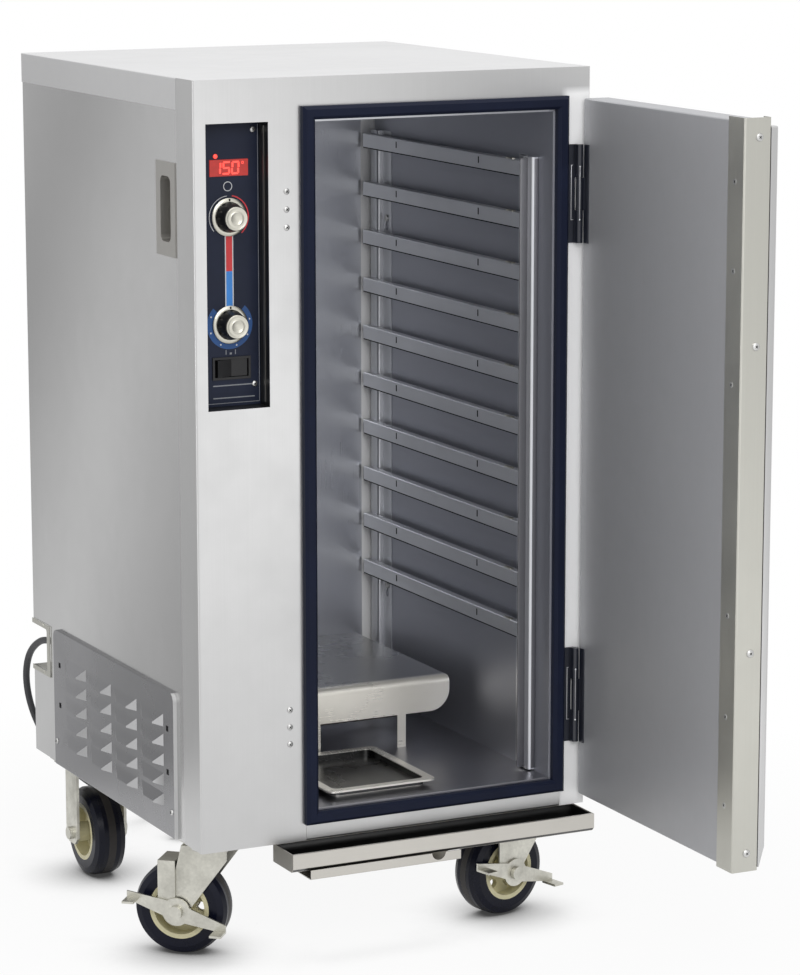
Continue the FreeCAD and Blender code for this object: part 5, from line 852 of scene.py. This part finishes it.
def make_hinge_clips():
    """The bright wire clip across each hinge, bent at its ends."""
    form = bmesh.new()
    for low in HINGE_LOWS:
        bottom, top = low + CLIP_LOW, low + CLIP_HIGH
        pin_ends = (bottom + PIN_RISE, top - PIN_DROP)
        rods = (
            (WIRE_X, WIRE_Y, (bottom, top), WIRE_SOFT),
            (LOWER_BEND_X, BEND_Y, (bottom + BEND_START, bottom + BEND_END), BEND_SOFT),
            (UPPER_BEND_X, BEND_Y, (top - BEND_END, top - BEND_START), BEND_SOFT),
            (PIN_X, PIN_Y, pin_ends, WIRE_SOFT),
        )
        for x, y, z, soften in rods:
            block(form, at(x[0], y[0], z[0]), at(x[1], y[1], z[1]), soften)
        for z in pin_ends:
            ball = Matrix.Translation(at(BALL_X, BALL_Y, z))
            bmesh.ops.create_uvsphere(form, u_segments=12, v_segments=8, radius=BALL_RADIUS * MM, matrix=ball)
    add_piece("hinge_clips", form, CLIP_METAL, "cabinet")


# The notch's flange as (depth, height), its face and plate, and its rivets
POCKET_EDGE = (
    (606, 187.5),
    (549, 187.5),
    (549, 126),
    (606, 126),
    (606, 119.5),
    (538, 119.5),
    (538, 194),
    (606, 194),
)
POCKET_ROUND, POCKET_SEGMENTS = 4.0, 4
POCKET_FACE, POCKET_PLATE = -0.6, 1.4
POCKET_RIVETS, RIVET_FACE, RIVET_STEPS = ((563, 190.8), (563, 122.8)), -0.5, 16


def make_pocket_edge():
    """The pale flange that edges the cord's notch, with its two rivets."""
    form = bmesh.new()
    flat = form.faces.new([form.verts.new(at(POCKET_FACE, y, z)) for y, z in POCKET_EDGE])
    inner_corners = list(flat.verts)[1:3]
    round_off(form, inner_corners, POCKET_ROUND, POCKET_SEGMENTS, "VERTICES")
    grown = bmesh.ops.extrude_face_region(form, geom=list(form.faces))["geom"]
    back = [part for part in grown if isinstance(part, bmesh.types.BMVert)]
    bmesh.ops.translate(form, verts=back, vec=Vector((POCKET_PLATE, 0, 0)) * MM)
    for y, z in POCKET_RIVETS:
        turned(form, at(RIVET_FACE, y, z), LEFT, ROUND_HEAD, RIVET_STEPS)
    add_piece("cord_pocket_edge", form, EDGE_METAL, "cabinet")


RECESS_LINE = ((101.9, 13, 586), (102.45, 18, 940))


def make_recess_line():
    """The edge of the steel sheet on the recess's right wall."""
    form = bmesh.new()
    low, high = RECESS_LINE
    block(form, at(*low), at(*high))
    add_piece("recess_line", form, BASE_METAL, "cabinet")


CASTER_X, CASTER_Y = (52, 516), (90, 502)
BOLT_X, BOLT_Y, BOLT_SEAT = (-38, 38), (-44, 44), -2.8
BOLT, BOLT_SIDES = ((0, 0), (7.4, 0), (7.4, 4.2), (6.4, 5.0), (0, 5.0)), 6


def make_bolts():
    """Hexagon bolts that hold the caster plates under the base."""
    form = bmesh.new()
    for x, y, across, along in itertools.product(CASTER_X, CASTER_Y, BOLT_X, BOLT_Y):
        turned(form, at(x + across, y + along, BOLT_SEAT), DOWN, BOLT, BOLT_SIDES)
    add_piece("caster_bolts", form, SCREW_ZINC, "cabinet")


WHEEL_AXES = {
    "front_left": (-0.642788, -0.766044, 0),
    "front_right": (0.224951, -0.974370, 0),
    "rear_left": (1, 0, 0),
    "rear_right": (1, 0, 0),
}
TREAD_BAND = ((63.0, -5.5), (63.6, -5.5), (63.6, 5.5), (63.0, 5.5), (63.0, -5.5))
TREAD_STEPS = 96


def make_tread_bands():
    """The worn grey band round the middle of each tread."""
    for wheel, axis in WHEEL_AXES.items():
        low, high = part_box(f"{wheel}_tyre")
        form = bmesh.new()
        turned(form, (low + high) / 2, axis, TREAD_BAND, TREAD_STEPS)
        add_piece(f"{wheel}_tread_band", form, TREAD_GREY, f"{wheel}_wheel")


SLIDE_TOP, SLIDE_PITCH, SLIDES = 875, 69.6, 10
MARK_PROUD = 0.2
# Marks of a slide, its slots and the shadow line painted under its web among them: places in depth, and drops
# below its top
NOTCHES, NOTCH_HALF, NOTCH_LOW, NOTCH_HIGH = (170, 420), 1.3, 13, 4
LINE_FRONT, LINE_BACK, LINE_LOW, LINE_HIGH = 54, 527, 21, 19.6
STOP_FRONT, STOP_BACK, STOP_WIDTH, STOP_HEIGHT, STOP_SOFT = 74, 92, 6, 1.6, 0.4
# The dark plate at the slides' ends and the dark strip on the upright's edge, both painted shade: places in
# depth, ends within the rack's
END_FRONT, END_BACK, END_INSET, END_SOFT = 50.6, 51.9, 2, 0.4
RIM_FRONT, RIM_BACK, RIM_NEAR, RIM_FAR, RIM_SOFT = 38.2, 38.9, 4.2, 9.6, 0.2
# Each rack's body, its slides' face, its uprights' crown and the way to the cabinet's middle
RACKS = {
    "left_rack": ("rack_left", 188.4, 177.4, 1),
    "right_rack": ("rack_right", 491.6, 502.6, -1),
}


def make_rack_marks():
    """Dark slots painted as shade on the tray slides and a shadow line painted under each, bright stops, and
    dark plates painted as shade that close their front ends and edge the uprights.
    """
    for node, (body, face, crown, way) in RACKS.items():
        low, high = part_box(node)
        slots = bmesh.new()
        stops = bmesh.new()
        plate = bmesh.new()
        proud = face + way * MARK_PROUD
        for level in range(SLIDES):
            top = SLIDE_TOP - SLIDE_PITCH * level
            # Painted shade: the slots are dark patches on the slide's web.
            for y in NOTCHES:
                foot = at(face, y - NOTCH_HALF, top - NOTCH_LOW)
                block(slots, foot, at(proud, y + NOTCH_HALF, top - NOTCH_HIGH))
            # Painted shadow: a dark line along the foot of the slide's web.
            block(slots, at(face, LINE_FRONT, top - LINE_LOW), at(proud, LINE_BACK, top - LINE_HIGH))
            foot = at(face - way * STOP_WIDTH, STOP_FRONT, top)
            block(stops, foot, at(face, STOP_BACK, top + STOP_HEIGHT), STOP_SOFT)
        bottom = (low.z - CORNER.z) / MM + END_INSET
        top = (high.z - CORNER.z) / MM - END_INSET
        # Painted shade: dark plates at the slides' front ends and along the upright's front edge.
        block(plate, at(face, END_FRONT, bottom), at(crown, END_BACK, top), END_SOFT)
        rim = at(crown - way * RIM_NEAR, RIM_FRONT, bottom)
        block(plate, rim, at(crown - way * RIM_FAR, RIM_BACK, top), RIM_SOFT)
        add_piece(f"{node}_slots", slots, SHADOW_BLACK, body)
        add_piece(f"{node}_stops", stops, SATIN_METAL, body)
        add_piece(f"{node}_shade_plate", plate, SHADE_PLATE_STEEL, body)


# Power cord


CORD_DIAMETER, CORD_LENGTH = 10, 2.198
CORD_EXIT = (-264, 267, 328)
# The free stretch, in millimetres from the cabinet's middle and the floor
CORD_ROUTE = (
    CORD_EXIT,
    (-264, 303, 325),
    (-264, 341, 312),
    (-263.5, 377, 288),
    (-262, 396, 253),
    (-258, 396, 216),
    (-248, 391, 180),
    (-231, 387, 147),
    (-208, 386, 116),
    (-180, 388, 88),
    (-146, 394, 63),
    (-108, 403, 41),
    (-68, 416, 22),
    (-30, 432, 9),
    (12, 441.5, 5),
)
COIL_MIDDLE = Vector((66, 377, 5))
COIL_RADIUS = 65.6
COIL_PITCH = 10.6
COIL_TURNS = 2
COIL_TAIL = 58
COIL_STEPS = 24


def coil_points():
    """Control points of the put-away coil: two layers of turns, in along the floor, up, and out on top."""
    points = [COIL_MIDDLE + Vector((-CORD_DIAMETER, COIL_RADIUS, 0))]
    rate = COIL_PITCH / (2 * math.pi)
    full = 2 * math.pi * COIL_TURNS
    turn_back = full + math.pi / 2
    count = COIL_STEPS * COIL_TURNS * 2 + COIL_STEPS // 2
    for step in range(count + 1):
        swept = 2 * math.pi * step / COIL_STEPS
        inward = swept if swept <= turn_back else 2 * turn_back - swept
        radius = COIL_RADIUS - rate * inward
        climb = min(max((swept - full) / math.pi, 0.0), 1.0)
        height = COIL_PITCH * climb * climb * (3 - 2 * climb)
        angle = math.pi / 2 - swept
        points.append(COIL_MIDDLE + Vector((radius * math.cos(angle), radius * math.sin(angle), height)))
    outward = Vector((-COIL_RADIUS, -rate, 0)).normalized()
    points.append(points[-1] + outward * COIL_TAIL)
    return points


TIE_ANGLE = math.radians(-25)
TIE_WIDTH, TIE_PLATE = 9, 1.2
# The strap's outline: (from the coil's middle, above the floor)
TIE_OUTLINE = ((31.5, 2), (31.5, 18), (37, 23.7), (68, 23.7), (73.5, 18), (73.5, 2), (71.5, 0), (33.5, 0))


def make_tie():
    """The strap round the coil's turns."""
    out = Vector((math.cos(TIE_ANGLE), math.sin(TIE_ANGLE), 0))
    along = Vector((-out.y, out.x, 0))
    start = Vector((COIL_MIDDLE.x, COIL_MIDDLE.y, 0)) - along * TIE_WIDTH / 2
    form = bmesh.new()
    points = []
    for reach, rise in TIE_OUTLINE:
        points.append(form.verts.new((start + out * reach + Vector((0, 0, rise))) * MM))
    inside = form.faces.new(points)
    form.normal_update()
    wall = bmesh.ops.inset_region(
        form, faces=[inside], thickness=TIE_PLATE * MM, use_boundary=True, use_even_offset=True
    )
    band = wall["faces"]
    bmesh.ops.delete(form, geom=[inside], context="FACES_ONLY")
    grown = bmesh.ops.extrude_face_region(form, geom=band)["geom"]
    far = [part for part in grown if isinstance(part, bmesh.types.BMVert)]
    bmesh.ops.translate(form, verts=far, vec=along * TIE_WIDTH * MM)
    return add_piece("cord_tie", form, SWITCH_BLACK, "cabinet")


def make_cord():
    points = [Vector(point) for point in CORD_ROUTE] + coil_points()
    curve = bpy.data.curves.new("power_cord_line", "CURVE")
    curve.dimensions = "3D"
    curve.bevel_depth = CORD_DIAMETER / 2 * MM
    curve.bevel_resolution = 5
    curve.resolution_u = 8
    curve.use_fill_caps = True
    spline = curve.splines.new("NURBS")
    spline.points.add(len(points) - 1)
    for control, point in zip(spline.points, points):
        control.co = (*(point * MM), 1.0)
    spline.order_u = 3
    spline.use_endpoint_u = True
    cord = bpy.data.objects.new("power_cord_line", curve)
    bpy.context.collection.objects.link(cord)
    curve.materials.append(CORD_GREY)
    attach(cord, "cabinet")
    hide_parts("power_cord", "cord_coil")
    make_tie()


# Stage, light and camera


WHITE = even_grey(1.0)
FLOOR_SIZE, FLOOR_PLACE, FLOOR_GREY = 40, (0, 0, -0.0005), even_grey(0.86)
# The floor's own white: its share near the cabinet and the distances over which it takes over
FLOOR_SHARE, NEAR_FLOOR, FAR_FLOOR = 0.92, 0.6, 1.2
# Contact shadows: how far they reach, how dark they get, and the share of open sky between dark and white
CONTACT_REACH, CONTACT_SHADE, CONTACT_DARK, CONTACT_WHITE = 0.13, 0.05, 0.25, 0.92
CONTACT_SAMPLES = 16
WORLD_LIGHT = 0.45


def stage_material(name):
    """A material whose shader is still to be made."""
    material = bpy.data.materials.new(name)
    material.use_nodes = True
    tree = material.node_tree
    tree.nodes.remove(tree.nodes["Principled BSDF"])
    return material, tree


def seen_ray(tree):
    """1 for rays that show a thing, straight, mirrored or through glass, 0 for those that light others."""
    path = add_node(tree, "ShaderNodeLightPath").outputs
    seen = math_node(tree, "MAXIMUM", path["Is Camera Ray"], path["Is Glossy Ray"])
    return math_node(tree, "MAXIMUM", seen, path["Is Transmission Ray"])


def make_floor():
    bpy.ops.mesh.primitive_plane_add(size=FLOOR_SIZE, location=FLOOR_PLACE)
    floor = bpy.context.object
    floor.name = "studio_floor"
    material, tree = stage_material("Studio floor")
    place = object_place(tree)
    reach = add_node(tree, "ShaderNodeVectorMath", {"operation": "LENGTH"}, i0=place).outputs["Value"]
    far = ramp(tree, reach, NEAR_FLOOR, FAR_FLOOR)
    sky = add_node(tree, "ShaderNodeAmbientOcclusion", {"samples": CONTACT_SAMPLES}, Distance=CONTACT_REACH)
    contact = ramp(tree, sky.outputs["AO"], CONTACT_DARK, CONTACT_WHITE)
    plain = add_node(tree, "ShaderNodeBsdfDiffuse", None, Color=FLOOR_GREY)
    glow = blend_value(tree, contact, CONTACT_SHADE, 1.0)
    white = add_node(tree, "ShaderNodeEmission", None, Color=WHITE, Strength=glow)
    share = blend_value(tree, far, FLOOR_SHARE, 1.0)
    factor = math_node(tree, "MULTIPLY", share, seen_ray(tree))
    mixed = add_node(tree, "ShaderNodeMixShader", None, i0=factor, i1=plain.outputs[0], i2=white.outputs[0])
    tree.links.new(mixed.outputs[0], tree.nodes["Material Output"].inputs["Surface"])
    floor.data.materials.append(material)


def make_world():
    world = bpy.data.worlds.new("Studio")
    bpy.context.scene.world = world
    world.use_nodes = True
    tree = world.node_tree
    back = tree.nodes["Background"]
    back.inputs["Color"].default_value = WHITE
    plug_in(tree, back.inputs["Strength"], blend_value(tree, seen_ray(tree), WORLD_LIGHT, 1.0))


CABINET_MIDDLE = (0.0, 0.0, 0.6)
# Each lamp's name, its place, what it faces, its size and its power
LAMPS = (
    ("key_lamp", (-0.9, -4.4, 3.0), CABINET_MIDDLE, (3.0, 2.0), 80),
    ("top_lamp", (-0.3, -0.4, 3.6), CABINET_MIDDLE, (3.0, 3.0), 45),
    ("left_lamp", (-2.9, 0.9, 0.5), (-0.3, 0.0, 0.4), (1.0, 0.9), 9),
)


def make_lamps():
    for name, place, target, size, power in LAMPS:
        data = bpy.data.lights.new(name, "AREA")
        data.shape = "RECTANGLE"
        data.size, data.size_y = size
        data.energy = power
        lamp = bpy.data.objects.new(name, data)
        bpy.context.collection.objects.link(lamp)
        lamp.location = place
        lamp.rotation_euler = (Vector(target) - Vector(place)).to_track_quat("-Z", "Y").to_euler()


# Studio cards that the brushed sheets reflect: place, what they face, size, slope of their shading
# across and up and its start, and its grey levels along that slope
SIDE_CARD = {
    "place": (-0.63, 0.70, 0.58),
    "faces": (-0.284, 0.0, 0.73),
    "size": (2.4, 1.3),
    "slope": (-5.03, -1.332, 1.385),
    "levels": (
        (-0.2, 0.62),
        (0.1, 0.40),
        (0.45, 0.52),
        (0.8, 0.70),
        (1.15, 0.86),
        (1.35, 0.78),
        (1.65, 0.61),
        (2.1, 0.50),
        (2.9, 0.36),
        (3.7, 0.36),
        (4.3, 1.3),
        (6.0, 1.3),
    ),
}
FRONT_CARD = {
    "place": (0.72, -1.98, 0.40),
    "faces": (0.0, -0.303, 0.76),
    "size": (3.2, 1.5),
    "slope": (-2.0, 1.0, 0.0),
    "levels": (
        (-0.7, 1.3),
        (-0.26, 1.6),
        (0.0, 1.75),
        (0.2, 1.5),
        (0.38, 0.95),
        (0.6, 0.85),
        (0.8, 0.8),
        (1.5, 0.8),
    ),
}


def shaded_levels(tree, factor, levels):
    """Grey levels between stops, given as (place, level)."""
    low, high = levels[0][0], levels[-1][0]
    made = add_node(tree, "ShaderNodeValToRGB", None, Fac=ramp(tree, factor, low, high))
    stops = made.color_ramp.elements
    for place, level in levels[1:-1]:
        stops.new((place - low) / (high - low)).color = even_grey(level)
    stops[0].color = even_grey(levels[0][1])
    stops[-1].color = even_grey(levels[-1][1])
    return made.outputs["Color"]


def make_card(name, card):
    """A studio card seen only in the reflections of brushed sheet."""
    form = bmesh.new()
    bmesh.ops.create_grid(form, x_segments=1, y_segments=1, size=0.5)
    bmesh.ops.scale(form, vec=(*card["size"], 1.0), verts=form.verts)
    mesh = bpy.data.meshes.new(name)
    form.to_mesh(mesh)
    form.free()
    plane = bpy.data.objects.new(name, mesh)
    bpy.context.collection.objects.link(plane)
    plane.location = card["place"]
    plane.rotation_euler = (Vector(card["faces"]) - Vector(card["place"])).to_track_quat("Z", "Y").to_euler()
    material, tree = stage_material(name)
    axes = add_node(tree, "ShaderNodeSeparateXYZ", None, Vector=object_place(tree)).outputs
    across, up, start = card["slope"]
    along = math_node(tree, "ADD", math_node(tree, "MULTIPLY", axes["X"], across), start)
    along = math_node(tree, "ADD", along, math_node(tree, "MULTIPLY", axes["Y"], up))
    glow = add_node(tree, "ShaderNodeEmission", None, Strength=shaded_levels(tree, along, card["levels"]))
    tree.links.new(glow.outputs[0], tree.nodes["Material Output"].inputs["Surface"])
    mesh.materials.append(material)
    plane.visible_camera = False
    plane.visible_diffuse = False
    plane.visible_transmission = False
    plane.visible_shadow = False


IMAGE_WIDTH, IMAGE_HEIGHT = 800, 975
SENSOR_WIDTH, CLIP_END = 36.0, 100.0
FOCAL_PIXELS = 3579.28
OPTICAL_CENTRE = (380.04, 519.97)
CAMERA_PLACE = (-1764.7, -4119.8, 1320.9)
CAMERA_YAW, CAMERA_PITCH, CAMERA_ROLL = 0.4569, 0.1938, 0.0017


def make_camera():
    data = bpy.data.cameras.new("photo_camera")
    data.sensor_width = SENSOR_WIDTH
    data.lens = FOCAL_PIXELS / IMAGE_HEIGHT * SENSOR_WIDTH
    data.shift_x = (IMAGE_WIDTH / 2 - OPTICAL_CENTRE[0]) / IMAGE_HEIGHT
    data.shift_y = (OPTICAL_CENTRE[1] - IMAGE_HEIGHT / 2) / IMAGE_HEIGHT
    data.clip_end = CLIP_END
    camera = bpy.data.objects.new("photo_camera", data)
    bpy.context.collection.objects.link(camera)
    camera.location = at(*CAMERA_PLACE)
    camera.rotation_euler = (math.pi / 2 - CAMERA_PITCH, CAMERA_ROLL, -CAMERA_YAW)
    bpy.context.scene.camera = camera


place_finishes()
finish_nodes()
make_folds()
make_panel_prints()
make_knob_trims()
make_screws()
make_vent_slots()
make_hinge_clips()
make_pocket_edge()
make_recess_line()
make_bolts()
make_tread_bands()
make_rack_marks()
make_cord()
make_floor()
make_world()
make_lamps()
make_card("side_card", SIDE_CARD)
make_card("front_card", FRONT_CARD)
make_camera()
bpy.context.scene.view_settings.view_transform = "Standard"
